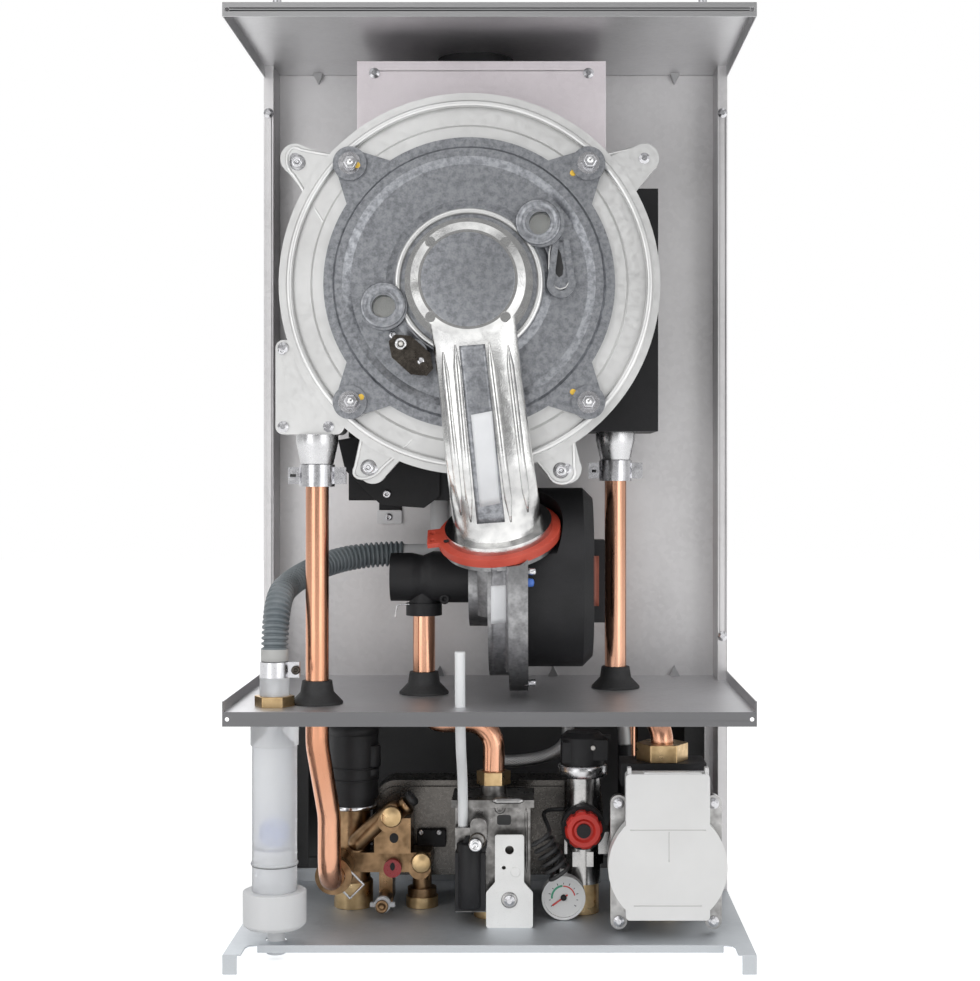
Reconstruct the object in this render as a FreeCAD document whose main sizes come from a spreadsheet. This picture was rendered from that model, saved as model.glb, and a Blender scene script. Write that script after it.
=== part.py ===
import FreeCAD, Part
import math
import os
import re
import Sketcher

# Wall-hung condensing boiler with the front casing off.
# Width along X, front towards -Y, height along Z, ground at zero under the base lips.

# Driving sizes in millimetres; names that end in angle are degrees, in count are numbers of things.
SIZES = (
    # Sheet-metal cabinet
    ("case_width", 400.0), ("chamber_depth", 240.0), ("rear_depth", 70.0),
    ("base_lip", 15.0), ("bay_height", 181.5), ("chamber_height", 531.0),
    ("sheet", 1.0), ("lip_height", 11.0), ("shelf_side_lip", 8.0), ("rear_upstand", 11.0),
    ("back_flange", 37.0), ("back_lip", 8.5), ("back_strip", 8.0), ("opening_head", 11.0),
    ("notch_depth", 27.0), ("notch_side", 14.0), ("notch_lip", 6.0), ("notch_corner", 8.0),
    ("tab_width", 11.0), ("lip_hole", 1.6), ("lip_hole_inset", 3.6), ("dimple", 9.0),
    ("dimple_reach", 157.0), ("shelf_dimple_reach", 50.0),
    ("fit_gap", 0.3), ("run_gap", 0.05),
    # Wall frame and expansion vessel behind the back panel
    ("rail_inset", 4.0), ("rail_width", 30.0), ("rail_gauge", 1.5), ("rail_rise", 5.0),
    ("rail_drop", 8.0), ("bar_height", 50.0), ("hang_spacing", 300.0), ("hang_hole", 5.0),
    ("vessel_radius", 152.0), ("vessel_thick", 62.0), ("vessel_boss", 18.0), ("vessel_boss_rise", 4.0),
    ("vessel_edge", 12.0), ("vessel_lift", 270.0), ("nipple_radius", 8.0), ("nipple_length", 14.0),
    ("vessel_pipe_radius", 5.0), ("vessel_pipe_bore", 4.0), ("vessel_pipe_bend", 18.0),
    ("vessel_pipe_inset", 78.0), ("vessel_pipe_high", 50.0), ("vessel_pipe_low", 8.0),
    ("vessel_pipe_port", 17.0),
    # Heat exchanger and burner door
    ("exchanger_shift", -16.5), ("exchanger_drop", 206.5),
    ("shell_radius", 128.0), ("shell_wall", 10.0), ("shell_back", 200.0), ("shell_floor", 8.0),
    ("ring_front", 40.0), ("ring_thick", 12.0), ("ring_radius", 147.0), ("ring_bore", 103.0),
    ("ring_rim", 6.0), ("ring_groove", 3.0), ("ring_groove_in", 121.0), ("ring_slope", 2.0),
    ("ear_high_x", 135.0), ("ear_high_z", 97.4), ("ear_low_x", 75.0), ("ear_low_z", 142.6),
    ("ear_radius", 11.5), ("ear_root", 24.0), ("ear_thick", 7.0),
    ("header_left", 150.0), ("header_width", 53.0), ("header_low", 116.0), ("header_high", 43.0),
    ("header_front", 44.0), ("header_back", 76.0),
    ("drain_block_left", 100.0), ("drain_block_right", 9.0), ("drain_block_low", 168.0),
    ("block_front", 106.0),
    ("side_block_in", 36.0), ("side_block_out", 150.0), ("side_block_low", 112.0),
    ("side_block_high", 84.0),
    ("foot_left", 87.0), ("foot_width", 20.0), ("foot_low", 186.0), ("foot_thick", 3.0),
    ("coil_radius", 109.5), ("coil_wire", 8.0), ("coil_pitch", 19.0), ("coil_turn_count", 5),
    ("flue_depth", 186.0), ("flue_radius", 31.8), ("flue_bore", 30.3), ("flue_seat", 10.0),
    ("flue_stand", 28.0), ("flue_skirt", 50.0), ("flue_skirt_wall", 1.5), ("flue_stop", 45.0),
    ("flue_throat", 24.0), ("flue_block_half", 42.0),
    ("bracket_depth", 104.0), ("bracket_half", 100.4), ("bracket_aside", 7.3), ("bracket_top", 20.0),
    ("bracket_low", 84.0),
    ("bracket_gauge", 1.5), ("bracket_screw_x", 86.3), ("bracket_screw_drop", 10.0),
    ("door_radius", 112.0), ("door_flange", 5.0), ("door_rim", 9.0), ("door_rim_radius", 103.0),
    ("door_field", 6.0), ("door_hub_radius", 58.0), ("door_hub", 10.0), ("door_throat", 30.0),
    ("lobe_offset", 91.5), ("lobe_radius", 13.0), ("lobe_thick", 8.0), ("lobe_web", 34.0),
    ("sight_right_x", 55.0), ("sight_right_z", 44.5), ("sight_left_x", -65.0), ("sight_left_z", -19.0),
    ("sight_radius", 18.0), ("sight_bore", 9.0), ("sight_rise", 15.0), ("glass_thick", 3.0),
    ("pad_x", 70.5), ("pad_z", -1.0), ("pad_half", 11.0), ("pad_top_half", 6.0), ("pad_height", 34.0),
    ("pad_rise", 12.0), ("pad_slot_half", 5.5), ("pad_slot_top_half", 1.5),
    ("insulation_radius", 98.0), ("insulation_thick", 16.0), ("insulation_bore", 37.0),
    ("burner_radius", 35.0), ("burner_length", 105.0), ("burner_wall", 1.2),
    ("nut_across", 10.0), ("nut_height", 6.0), ("nut_flange", 8.5), ("nut_flange_thick", 1.6),
    ("stud_radius", 3.0), ("stud_proud", 3.0),
    ("electrode_x", -44.0), ("electrode_z", -56.0), ("electrode_half", 19.5), ("electrode_width", 11.0),
    ("electrode_thick", 3.0), ("electrode_angle", 42.0), ("ceramic_radius", 4.0), ("ceramic_stand", 12.0),
    ("ceramic_reach", 52.0), ("electrode_screw", 3.2), ("electrode_screw_proud", 2.4),
    ("electrode_screw_reach", 13.5), ("electrode_seat", 13.0), ("electrode_seat_radius", 13.0),
    # Screws
    ("screw_head", 4.2), ("screw_head_thick", 2.6), ("screw_shank", 2.0), ("screw_length", 6.0),
    ("pin_radius", 3.4), ("pin_height", 4.0), ("pin_reach", 160.0), ("pin_depth", 8.0),
    ("panel_screw_high", 42.0), ("panel_screw_low", 38.0), ("panel_screw_inset", 4.3),
    # Premix duct and its gasket, on a leaning plane
    ("duct_x", 5.8), ("duct_depth", 62.0), ("duct_drop", 190.0), ("duct_tilt_angle", 27.0),
    ("duct_wall", 3.0), ("duct_half", 32.0), ("duct_half_deep", 9.0), ("duct_setback", 3.0),
    ("duct_flange", 42.0),
    ("duct_flange_thick", 6.0), ("duct_end", 35.0), ("duct_end_deep", 26.25),
    ("dome_radius", 43.6), ("dome_front", 7.0), ("dome_ring", 49.0), ("dome_ring_thick", 4.0),
    ("dome_shoulder", 6.0), ("dome_pocket", 4.0), ("dome_pocket_reach", 40.0), ("dome_pocket_deep", 3.0),
    ("gasket_outer", 48.5), ("gasket_inner", 34.0), ("gasket_thick", 7.0),
    ("gasket_tab", 8.0), ("gasket_tab_width", 24.0), ("gasket_tab_thick", 4.0), ("gasket_tab_hole", 2.0),
    ("outlet_flange", 45.0), ("outlet_flange_thick", 5.0), ("outlet_radius", 38.0),
    ("outlet_depth", 46.0),
    # Fan and mixer on one axis along X
    ("fan_drop", 230.0), ("fan_depth", 112.0), ("inlet_left", -18.7), ("inlet_width", 16.2),
    ("inlet_radius", 39.7), ("volute_width", 16.2), ("volute_radius", 79.5), ("fan_flange_width", 15.0),
    ("fan_flange_radius", 91.7), ("fan_cavity", 55.0), ("fan_side_wall", 3.0), ("fan_bore", 20.0),
    ("wheel_radius", 51.0), ("wheel_disc", 2.0), ("wheel_blade_root", 30.0), ("wheel_blade", 2.0),
    ("wheel_blade_count", 16), ("wheel_hub", 10.0), ("wheel_shaft", 4.0), ("wheel_gap", 2.0),
    ("fan_shaft_reach", 30.0), ("motor_radius", 72.2), ("motor_width", 51.5), ("motor_edge", 8.0),
    ("plug_width", 10.0), ("plug_high", 30.0), ("plug_low", 36.0), ("plug_half", 13.0),
    ("plug_wall", 2.0),
    ("plug_slot", 6.0), ("duct_clear", 50.5),
    ("mixer_radius", 20.8), ("mixer_bore", 15.0), ("mixer_length", 64.0), ("mixer_waist", 17.5),
    ("mixer_cup", 19.5), ("mixer_step", 30.0), ("mixer_waist_from", 38.0), ("mixer_cup_from", 47.0),
    ("branch_radius", 12.0), ("branch_drop", 31.0), ("branch_flange", 14.5),
    ("branch_flange_thick", 10.0),
    # Copper pipes, fittings, clips, grommets
    ("pipe_radius", 9.0), ("pipe_bore", 8.0), ("pipe_socket", 12.0), ("pipe_bend", 22.0),
    ("flow_inset", 65.0), ("flow_depth", 50.0), ("return_inset", 99.0), ("return_depth", 150.0),
    ("fitting_top", 16.3), ("fitting_flare", 6.0), ("fitting_waist", 12.6), ("fitting_collar", 11.8),
    ("fitting_taper", 23.0), ("fitting_length", 36.0),
    ("clip_width", 45.0), ("clip_height", 17.0), ("clip_inset", 2.0), ("clip_bolt", 3.2),
    ("clip_bolt_x", 18.0), ("clip_gauge", 1.5),
    ("grommet_neck", 14.0), ("grommet_flare", 20.0), ("grommet_flare_thick", 1.6),
    ("grommet_height", 18.0),
    ("grommet_top", 11.6), ("grommet_waist", 13.0), ("grommet_lower", 15.2), ("grommet_lower_thick", 3.0),
    ("flow_slant_from", 32.0), ("flow_low_x", 7.5), ("flow_low_depth", 66.0), ("flow_slant_to", 90.0),
    ("flow_port_rise", 37.0),
    ("gas_pipe_shift", -56.0), ("gas_run_drop", 23.0), ("gas_bend", 17.5), ("gas_valve_shift", 0.3),
    ("return_run_drop", 18.0),
    ("nut_gas_radius", 14.0), ("nut_gas_height", 11.0), ("nut_pump_radius", 21.0),
    ("nut_pump_height", 14.0), ("pump_bend", 20.0),
    # Condensate outlet, hose and trap
    ("drain_x", -45.0), ("drain_clear", 9.2), ("drain_radius", 8.0), ("drain_bore", 6.2),
    ("drain_fall", 45.0), ("drain_run", 30.0), ("drain_bend", 14.0),
    ("hose_radius", 8.8), ("hose_valley", 7.4), ("hose_bore", 6.2), ("hose_rib_pitch", 3.4),
    ("hose_end_run", 45.0), ("hose_side_x", 38.0), ("hose_side_depth", 95.0), ("hose_side_rise", 59.0),
    ("hose_top_rise", 44.0), ("cuff_length", 10.0), ("cuff_radius", 10.2),
    ("trap_inset", 34.0), ("trap_depth", 36.0), ("trap_radius", 17.2), ("trap_bore", 14.8),
    ("trap_collar", 18.4), ("trap_collar_height", 29.0), ("trap_joint", 60.0), ("trap_joint_ridge", 18.2),
    ("trap_joint_thick", 2.0), ("trap_seat_bore", 8.0), ("trap_seat_rise", 72.0),
    ("trap_seat_thick", 2.5),
    ("trap_bottom", 40.0), ("trap_floor", 12.0), ("trap_cup", 24.3), ("trap_drain", 7.5),
    ("trap_drain_bore", 5.5), ("trap_drain_clear", 4.0), ("trap_drain_aside", 9.0), ("trap_spigot", 11.4),
    ("trap_spigot_rise", 22.0), ("trap_barb", 7.4),
    ("trap_throat", 5.0), ("trap_neck", 9.0),
    ("float_radius", 12.0), ("trap_nut_radius", 15.6), ("trap_nut_height", 8.0),
    ("clamp_radius", 11.4), ("clamp_height", 12.0), ("clamp_ear", 8.0), ("clamp_ear_width", 7.0),
    ("clamp_band", 1.2),
    # Diverter valve group
    ("diverter_inset", 83.0), ("diverter_depth", 150.0), ("barrel_radius", 14.0), ("barrel_foot", 22.0),
    ("barrel_top", 85.0), ("barrel_bore", 7.0), ("actuator_radius", 20.5), ("actuator_height", 72.0),
    ("actuator_collar", 17.5), ("actuator_collar_height", 6.0), ("actuator_edge", 3.0),
    ("spindle_radius", 3.0), ("spindle_disc_thick", 5.0), ("spindle_reach", 60.0),
    ("spindle_head", 34.0), ("port_radius", 13.0), ("port_front", 94.0), ("port_ring", 14.8),
    ("port_ring_width", 5.0), ("port_ring_count", 3), ("port_socket", 16.0),
    ("arm_radius", 8.0), ("arm_x", 44.0), ("arm_rise", 20.0), ("arm_root_rise", 55.0),
    ("arm_depth", 138.0),
    ("block_left", 19.0), ("block_width", 30.0), ("block_low", 48.0), ("block_high", 77.0),
    ("block_near", 128.0), ("block_far", 166.0), ("disc_radius", 9.0), ("disc_near", 118.0),
    ("disc_high_x", 32.0), ("disc_high_rise", 76.0), ("disc_low_x", 57.0), ("disc_low_rise", 38.0),
    ("bridge_low", 31.0), ("bridge_high", 47.0), ("bridge_near", 136.0),
    ("stem_radius", 8.0), ("stem_flare", 12.0), ("stem_flare_height", 7.0), ("stem_foot", 9.0),
    ("cap_radius", 7.4), ("cap_x", 34.0), ("cap_rise", 35.5), ("cap_length", 8.0),
    ("cock_x", 28.0), ("cock_rise", 12.0), ("cock_radius", 5.5), ("cock_near", 108.0), ("cock_pin", 2.0),
    ("cock_pin_length", 8.0), ("cock_knob", 6.5), ("cock_wing", 10.0), ("cock_wing_thick", 3.0),
    ("cock_knob_thick", 6.0),
    ("plate_over", 5.0), ("plate_height", 80.0), ("plate_aside", 16.0), ("plate_rise", 20.0),
    ("plate_near", 172.0), ("plate_thick", 40.0), ("plate_corner", 20.0), ("plate_port", 11.0),
    ("plate_cover_inset", 5.0), ("plate_cover_thick", 3.0), ("plate_port_inset", 22.5),
    ("plate_port_z", 20.0),
    # Gas valve and bracket
    ("valve_half", 30.0), ("valve_near", 92.0), ("valve_thick", 52.0), ("valve_rise", 9.0),
    ("valve_height", 84.0),
    ("valve_cap_thick", 6.0), ("valve_cap_over", 3.0), ("valve_outlet", 10.5),
    ("valve_outlet_height", 8.0),
    ("coil_block_left", -29.7), ("coil_block_width", 24.0), ("coil_block_low", 13.0),
    ("coil_block_high", 59.0),
    ("coil_block_thick", 13.0), ("coil_nose_x", -14.0), ("coil_nose_rise", 65.0),
    ("coil_nose_radius", 9.5),
    ("coil_nose_length", 12.0), ("coil_tip_radius", 4.0), ("coil_tip_length", 3.0),
    ("tube_port_x", -23.3), ("tube_port_depth", 85.0), ("tube_port_radius", 2.8), ("tube_port_base", 6.0),
    ("tube_port_rise", 73.0), ("tube_port_base_height", 6.0), ("tube_port_height", 12.0),
    ("stay_depth", 78.0), ("stay_gauge", 2.0), ("stay_x", 13.8), ("stay_head_half", 11.5),
    ("stay_foot_half", 18.5), ("stay_foot_height", 28.0), ("stay_neck_height", 36.0),
    ("stay_height", 73.6),
    ("stay_hole", 3.5), ("stay_hole_rise", 61.5), ("stay_small_hole", 1.6), ("stay_small_x", 4.5),
    ("stay_small_rise", 47.5), ("stay_screw_rise", 21.6), ("stay_boss", 8.0),
   
    # Compensation tube
    ("tube_radius", 4.0), ("tube_bore", 2.9), ("tube_depth", 30.0), ("tube_stand", 42.0),
    ("tube_turn_drop", 24.0), ("tube_join_rise", 24.0), ("tube_x", -23.4),
    # Relief valve, pressure switch, gauge
    ("relief_inset", 127.0), ("relief_depth", 130.0), ("relief_radius", 15.0), ("relief_foot", 25.0),
    ("relief_top", 112.0), ("relief_axis_rise", 74.0), ("bonnet_radius", 17.7), ("bonnet_near", 103.0),
    ("bonnet_far", 122.0), ("bonnet_waist", 12.0), ("knob_radius", 15.0), ("knob_thick", 12.0),
    ("knob_stem", 5.6), ("knob_stem_proud", 1.0), ("knob_gap", 0.4), ("knob_dish", 2.0),
    ("knob_grip", 3.0),
    ("relief_hex", 17.0), ("relief_hex_low", 40.0), ("relief_hex_height", 12.0),
    ("switch_radius", 18.0), ("switch_height", 36.0), ("switch_ring", 18.6), ("switch_ring_height", 6.0),
    ("switch_edge", 4.0),
    ("gauge_inset", 143.0), ("gauge_rise", 18.2), ("gauge_near", 100.0), ("gauge_radius", 17.6),
    ("gauge_thick", 14.0), ("gauge_rim", 1.8), ("gauge_recess", 2.4), ("gauge_pin", 0.9),
    ("gauge_pin_rise", 2.0),
    ("gauge_stub", 3.0), ("gauge_stub_rise", 5.0),
    ("needle_hub", 2.2), ("needle_thick", 0.8), ("needle_lift", 0.3), ("needle_length", 11.0),
    ("needle_width", 1.1), ("needle_tail", 4.0), ("needle_rest_angle", 215.0),
    ("capillary_radius", 1.25), ("capillary_loop", 8.5), ("capillary_pitch", 6.2),
    ("capillary_turn_count", 5.5),
    ("capillary_end", 5.0), ("capillary_low_x", 54.0), ("capillary_low_rise", 42.0),
    ("capillary_high_x", 38.0),
    ("capillary_high_rise", 72.0), ("capillary_depth", 79.0), ("gauge_stub_depth", 107.0),
    ("capillary_port_rise", 84.0),
    # Pump
    ("pump_inset", 63.5), ("pump_rise", 56.0), ("pump_near", 40.0), ("cover_thick", 17.0),
    ("cover_radius", 46.0), ("cover_half", 32.4), ("cover_top", 72.0), ("cover_bottom", 40.6),
    ("cover_edge", 3.0), ("can_radius", 44.0), ("can_far", 105.0), ("lug_near", 60.0), ("lug_thick", 8.0),
    ("lug_x", 37.0), ("lug_z", 46.0), ("lug_radius", 6.5), ("casing_radius", 43.0), ("casing_far", 150.0),
    ("neck_half_width", 34.0), ("neck_low", 55.0), ("neck_high", 73.0), ("neck_near", 84.0),
    ("neck_far", 124.0),
    ("neck_depth", 104.0), ("pump_cavity", 32.0), ("pump_cavity_near", 107.0),
    ("pump_cavity_depth", 20.0),
    ("pump_wheel", 30.0), ("pump_disc", 2.0), ("pump_blade", 2.0), ("pump_blade_root", 12.0),
    ("pump_blade_count", 6), ("pump_hub", 7.0), ("pump_shaft", 3.0), ("pump_shaft_reach", 25.0),
    ("pump_wheel_gap", 2.0), ("link_half_height", 9.0), ("link_rise", 58.0), ("link_near", 122.0),
   
    # Filling hose
    ("fill_radius", 5.2), ("fill_depth", 176.0), ("fill_start_x", 7.0), ("fill_rise", 116.0),
    ("fill_up_aside", 11.0), ("fill_top_rise", 168.0), ("fill_down_aside", 26.5),
    ("fill_end_rise", 130.0),
    ("fill_port", 6.0), ("fill_block", 13.0),
    # Connection tails through the base
    ("tail_large", 13.2), ("tail_large_bore", 9.5), ("tail_small", 10.4), ("tail_small_bore", 7.5),
    ("tail_clear", 1.0), ("tail_shoulder", 3.0), ("tail_hole_gap", 0.6), ("tail_neck_step", 0.8),
    ("return_tail_depth", 130.0),
    ("cold_tail_depth", 130.0), ("gas_tail_depth", 118.0), ("pump_foot", 10.0),
)

doc = FreeCAD.newDocument("condensing_boiler")
sheet = doc.addObject("Spreadsheet::Sheet", "Sizes")
for row, (alias, value) in enumerate(SIZES, start=1):
    sheet.set(f"A{row}", alias)
    sheet.set(f"B{row}", str(value))
    sheet.setAlias(f"B{row}", alias)
doc.recompute()
ALIASES = {alias for alias, value in SIZES}
NODES = []

V = FreeCAD.Vector
TURNS = {
    "Z": FreeCAD.Rotation(),
    "-Z": FreeCAD.Rotation(V(1, 0, 0), 180),
    "X": FreeCAD.Rotation(V(0, 1, 0), 90),
    "-X": FreeCAD.Rotation(V(0, 1, 0), -90),
    "Y": FreeCAD.Rotation(V(1, 0, 0), -90),
    "-Y": FreeCAD.Rotation(V(1, 0, 0), 90),
}
ORIGIN = ("0", "0", "0")


# Helpers for the parametric document
def cells(expression):
    """Point each size word of an expression at its cell in the sheet."""
    return re.sub(r"[a-z][a-z_]+", lambda word: "Sizes." + word[0] if word[0] in ALIASES else word[0],
                  str(expression))


def size(expression):
    """Value of an expression of size words."""
    return float(sheet.evalExpression(cells(expression)))


def point(place):
    return V(*[size(part) for part in place])


def bind(obj, prop, expression):
    obj.setExpression(prop, cells(expression))


def put(obj, at, turn="Z"):
    """Turn a piece and tie its place to the sheet."""
    obj.Placement = FreeCAD.Placement(V(), TURNS[turn])
    for letter, expression in zip("xyz", at):
        if expression != "0":
            bind(obj, "Placement.Base." + letter, expression)
    return obj


def slab(x, y, z):
    """Box between two places on each axis."""
    box = doc.addObject("Part::Box", "slab")
    for prop, (low, high) in zip(("Length", "Width", "Height"), (x, y, z)):
        bind(box, prop, f"({high}) - ({low})")
    return put(box, (x[0], y[0], z[0]))


def rod(radius, length, at=ORIGIN, turn="Z"):
    cylinder = doc.addObject("Part::Cylinder", "rod")
    bind(cylinder, "Radius", radius)
    bind(cylinder, "Height", length)
    return put(cylinder, at, turn)


def hexagon(radius, length, at, turn="Z"):
    prism = doc.addObject("Part::Prism", "hexagon")
    bind(prism, "Circumradius", radius)
    bind(prism, "Height", length)
    return put(prism, at, turn)


def taper(low, high, length, at, turn="Z"):
    cone = doc.addObject("Part::Cone", "taper")
    bind(cone, "Radius1", low)
    bind(cone, "Radius2", high)
    bind(cone, "Height", length)
    return put(cone, at, turn)


def join(*pieces):
    fused = doc.addObject("Part::MultiFuse", "joined")
    fused.Shapes = list(pieces)
    fused.Refine = True
    return fused


def cut(base, *tools):
    trimmed = doc.addObject("Part::Cut", "trimmed")
    trimmed.Base = base
    trimmed.Tool = tools[0] if len(tools) == 1 else join(*tools)
    trimmed.Refine = True
    return trimmed


def together(*pieces):
    """Separate solids that share one node."""
    held = doc.addObject("Part::Compound", "group")
    held.Links = list(pieces)
    return held


def node(obj, label):
    obj.Label = label
    NODES.append(obj)
    return obj


def shaped(label, shape):
    """Piece whose form follows a route, so its shape is set directly."""
    feature = doc.addObject("Part::Feature", label)
    feature.Shape = shape
    return node(feature, label)


def outline(body, plane_role, corners):
    """Closed straight-sided sketch with each corner tied to the sheet."""
    sketch = body.newObject("Sketcher::SketchObject", "outline")
    plane = [item for item in body.Origin.OriginFeatures if item.Role == plane_role][0]
    sketch.AttachmentSupport = (plane, [""])
    sketch.MapMode = "FlatFace"
    places = [(size(across), size(up)) for across, up in corners]
    count = len(corners)
    for index in range(count):
        start = V(*places[index], 0)
        end = V(*places[(index + 1) % count], 0)
        sketch.addGeometry(Part.LineSegment(start, end))
    for index in range(count):
        sketch.addConstraint(Sketcher.Constraint("Coincident", index, 2, (index + 1) % count, 1))
    for index, corner in enumerate(corners):
        for kind, axis, expression, value in zip(("DistanceX", "DistanceY"), (-2, -1), corner,
                                                 places[index]):
            if expression == "0":
                sketch.addConstraint(Sketcher.Constraint("PointOnObject", index, 1, axis))
            else:
                made = sketch.addConstraint(Sketcher.Constraint(kind, -1, 1, index, 1, value))
                bind(sketch, f"Constraints[{made}]", expression)
    return sketch


def turned(profile, at, turn="Z"):
    """Body of revolution: the profile lists radius and height along the axis."""
    body = doc.addObject("PartDesign::Body", "turned")
    sketch = outline(body, "XZ_Plane", profile)
    spun = body.newObject("PartDesign::Revolution", "spun")
    spun.Profile = sketch
    spun.ReferenceAxis = (sketch, ["V_Axis"])
    spun.Angle = 360
    body.Tip = spun
    return put(body, at, turn)


def pressed(corners, thick, at, turn="Z", corner=None):
    """Padded outline, with its upright edges rounded when a corner radius is given."""
    body = doc.addObject("PartDesign::Body", "pressed")
    pad = body.newObject("PartDesign::Pad", "pad")
    pad.Profile = outline(body, "XY_Plane", corners)
    bind(pad, "Length", thick)
    body.Tip = pad
    if corner:
        doc.recompute()
        upright = [f"Edge{index}" for index, edge in enumerate(pad.Shape.Edges, start=1)
                   if abs(edge.Vertexes[0].Z - edge.Vertexes[-1].Z) > size(thick) / 2]
        rounding = body.newObject("PartDesign::Fillet", "rounding")
        rounding.Base = (pad, upright)
        bind(rounding, "Radius", corner)
        body.Tip = rounding
    return put(body, at, turn)


def block(x, y, thick, at, turn="Z", corner=None):
    """Rounded rectangle padded along one axis."""
    corners = ((x[0], y[0]), (x[1], y[0]), (x[1], y[1]), (x[0], y[1]))
    return pressed(corners, thick, at, turn, corner)


def both(make, reach):
    """The same piece on the left and on the right."""
    return [make(f"-({reach})"), make(f"({reach})")]


# Routes of pipes, tubes and coils
def rounded_route(points, bends):
    """Straight runs joined by tangent arcs."""
    edges = []
    start = points[0]
    for before, corner, after, bend in zip(points, points[1:], points[2:], bends):
        into = (corner - before).normalize()
        away = (after - corner).normalize()
        half_turn = into.getAngle(away) / 2
        reach = bend * math.tan(half_turn)
        first = corner - into * reach
        last = corner + away * reach
        inward = (away - into).normalize()
        middle = corner + inward * (bend / math.cos(half_turn) - bend)
        edges.append(Part.makeLine(start, first))
        edges.append(Part.Arc(first, middle, last).toShape())
        start = last
    edges.append(Part.makeLine(start, points[-1]))
    return Part.Wire(edges)


def tube_on(route, radius):
    start = route.Edges[0]
    ring = Part.Wire(Part.makeCircle(radius, start.valueAt(start.FirstParameter),
                                     start.tangentAt(start.FirstParameter)))
    return route.makePipeShell([ring], True, False)


def pipe_on(route, radius, bore):
    return tube_on(route, radius).cut(tube_on(route, bore))


def biarc(start, start_way, end, end_way):
    """Two tangent arcs from one place and direction to another."""
    gap = end - start
    ways = start_way + end_way
    bend = 2 * (start_way.dot(end_way) - 1)
    along = gap.dot(ways)
    reach = (along - math.sqrt(along * along - bend * gap.dot(gap))) / bend
    near = start + start_way * reach
    far = end - end_way * reach
    joint = (near + far) / 2
    arcs = []
    for first, control, last in ((start, near, joint), (joint, far, end)):
        middle = (first + last) / 2
        half_turn = (control - first).getAngle(last - control) / 2
        ease_share = math.tan(half_turn / 2) / math.tan(half_turn)
        arcs.append(Part.Arc(first, middle + (control - middle) * ease_share, last).toShape())
    return arcs


QUARTERS = 4


def coil_route(low, way, radius, pitch, turns, lead):
    """Coil about an axis that starts at low and runs along way, with straight ends."""
    side = way.cross(V(0, 1, 0)) if abs(way.y) < math.cos(math.radians(45)) else way.cross(V(1, 0, 0))
    side.normalize()
    other = way.cross(side)
    rise = pitch / (2 * math.pi)

    def place(step):
        angle = 2 * math.pi * step / QUARTERS
        return low + (side * math.cos(angle) + other * math.sin(angle)) * radius + way * (rise * angle)

    def heading(step):
        angle = 2 * math.pi * step / QUARTERS
        return ((other * math.cos(angle) - side * math.sin(angle)) * radius + way * rise).normalize()

    steps = int(turns * QUARTERS)
    edges = [Part.makeLine(place(0) - heading(0) * lead, place(0))]
    for step in range(steps):
        edges += biarc(place(step), heading(step), place(step + 1), heading(step + 1))
    edges.append(Part.makeLine(place(steps), place(steps) + heading(steps) * lead))
    return Part.Wire(edges)


# Main planes and axes, as expressions of the sheet
HALF = "(case_width / 2)"
FRONT = "(-(chamber_depth + rear_depth) / 2)"
PANEL_Y = "((chamber_depth - rear_depth) / 2)"
WALL_Y = "((chamber_depth + rear_depth) / 2)"
BASE_Z = "base_lip"
SHELF_Z = "(base_lip + bay_height)"
TOP_Z = "(base_lip + bay_height + chamber_height)"
FLANGE_Y = f"({PANEL_Y} - back_flange)"
INNER_HALF = f"({HALF} - back_lip)"
EX_X = "exchanger_shift"
EX_Z = f"({TOP_Z} - exchanger_drop)"
FAN_Z = f"({EX_Z} - fan_drop)"
FLOW_X = f"(flow_inset - {HALF})"
RETURN_X = f"({HALF} - return_inset)"
TRAP_X = f"(trap_inset - {HALF})"
DIVERTER_X = f"(diverter_inset - {HALF})"
RELIEF_X = f"({HALF} - relief_inset)"
GAUGE_X = f"({HALF} - gauge_inset)"
PUMP_X = f"({HALF} - pump_inset)"
FILL_DOWN_X = f"({PUMP_X} - fill_down_aside)"
FILL_UP_X = f"({RELIEF_X} - fill_up_aside)"
PUMP_Z = f"({BASE_Z} + pump_rise)"
DUCT_Z = f"({EX_Z} - duct_drop)"


def deep(depth):
    """Y of a place given by its depth behind the front edge."""
    return f"({FRONT} + {depth})"


def above(rise):
    """Z of a place given by its height over the base plate."""
    return f"({BASE_Z} + {rise})"


FLOW_Y = deep("flow_depth")
RETURN_Y = deep("return_depth")
TRAP_Y = deep("trap_depth")
FAN_Y = deep("fan_depth")
DIVERTER_Y = deep("diverter_depth")
RELIEF_Y = deep("relief_depth")
RING_Y = deep("ring_front")
RING_BACK_Y = deep("(ring_front + ring_thick)")
FLUE_Y = deep("flue_depth")
SPIGOT_Y = deep("(trap_depth + trap_drain_aside)")
PLATE_WIDTH = f"({RELIEF_X} - {DIVERTER_X} + plate_over)"
PLATE_X = f"(({RELIEF_X} + {DIVERTER_X}) / 2 + plate_aside)"
PLATE_PORT_X = f"({PLATE_WIDTH} / 2 - plate_port_inset)"
DRAIN_Y = f"({FAN_Y} + mixer_radius + drain_radius + drain_clear)"


# Screws: a pan head on a face and a shank in a clearance hole
SCREWS = []


def screw(at, turn, length="screw_length"):
    """Add one pan-head screw whose head stands out along turn, and give back the hole it needs."""
    shank_start = {"-Y": ("0", "+"), "Y": ("0", "-")}[turn][1]
    seat = (at[0], f"({at[1]}) {shank_start} {length}", at[2])
    head = turned((("0", "0"), ("screw_shank", "0"), ("screw_shank", length), ("screw_head", length),
                   ("screw_head", f"{length} + screw_head_thick / 2"),
                   ("screw_head / 2", f"{length} + screw_head_thick"),
                   ("0", f"{length} + screw_head_thick")),
                  seat, turn)
    SCREWS.append(head)
    return rod("screw_shank + fit_gap", f"{length} + fit_gap",
               (at[0], f"({seat[1]}) {shank_start} fit_gap", at[2]), turn)


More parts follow.
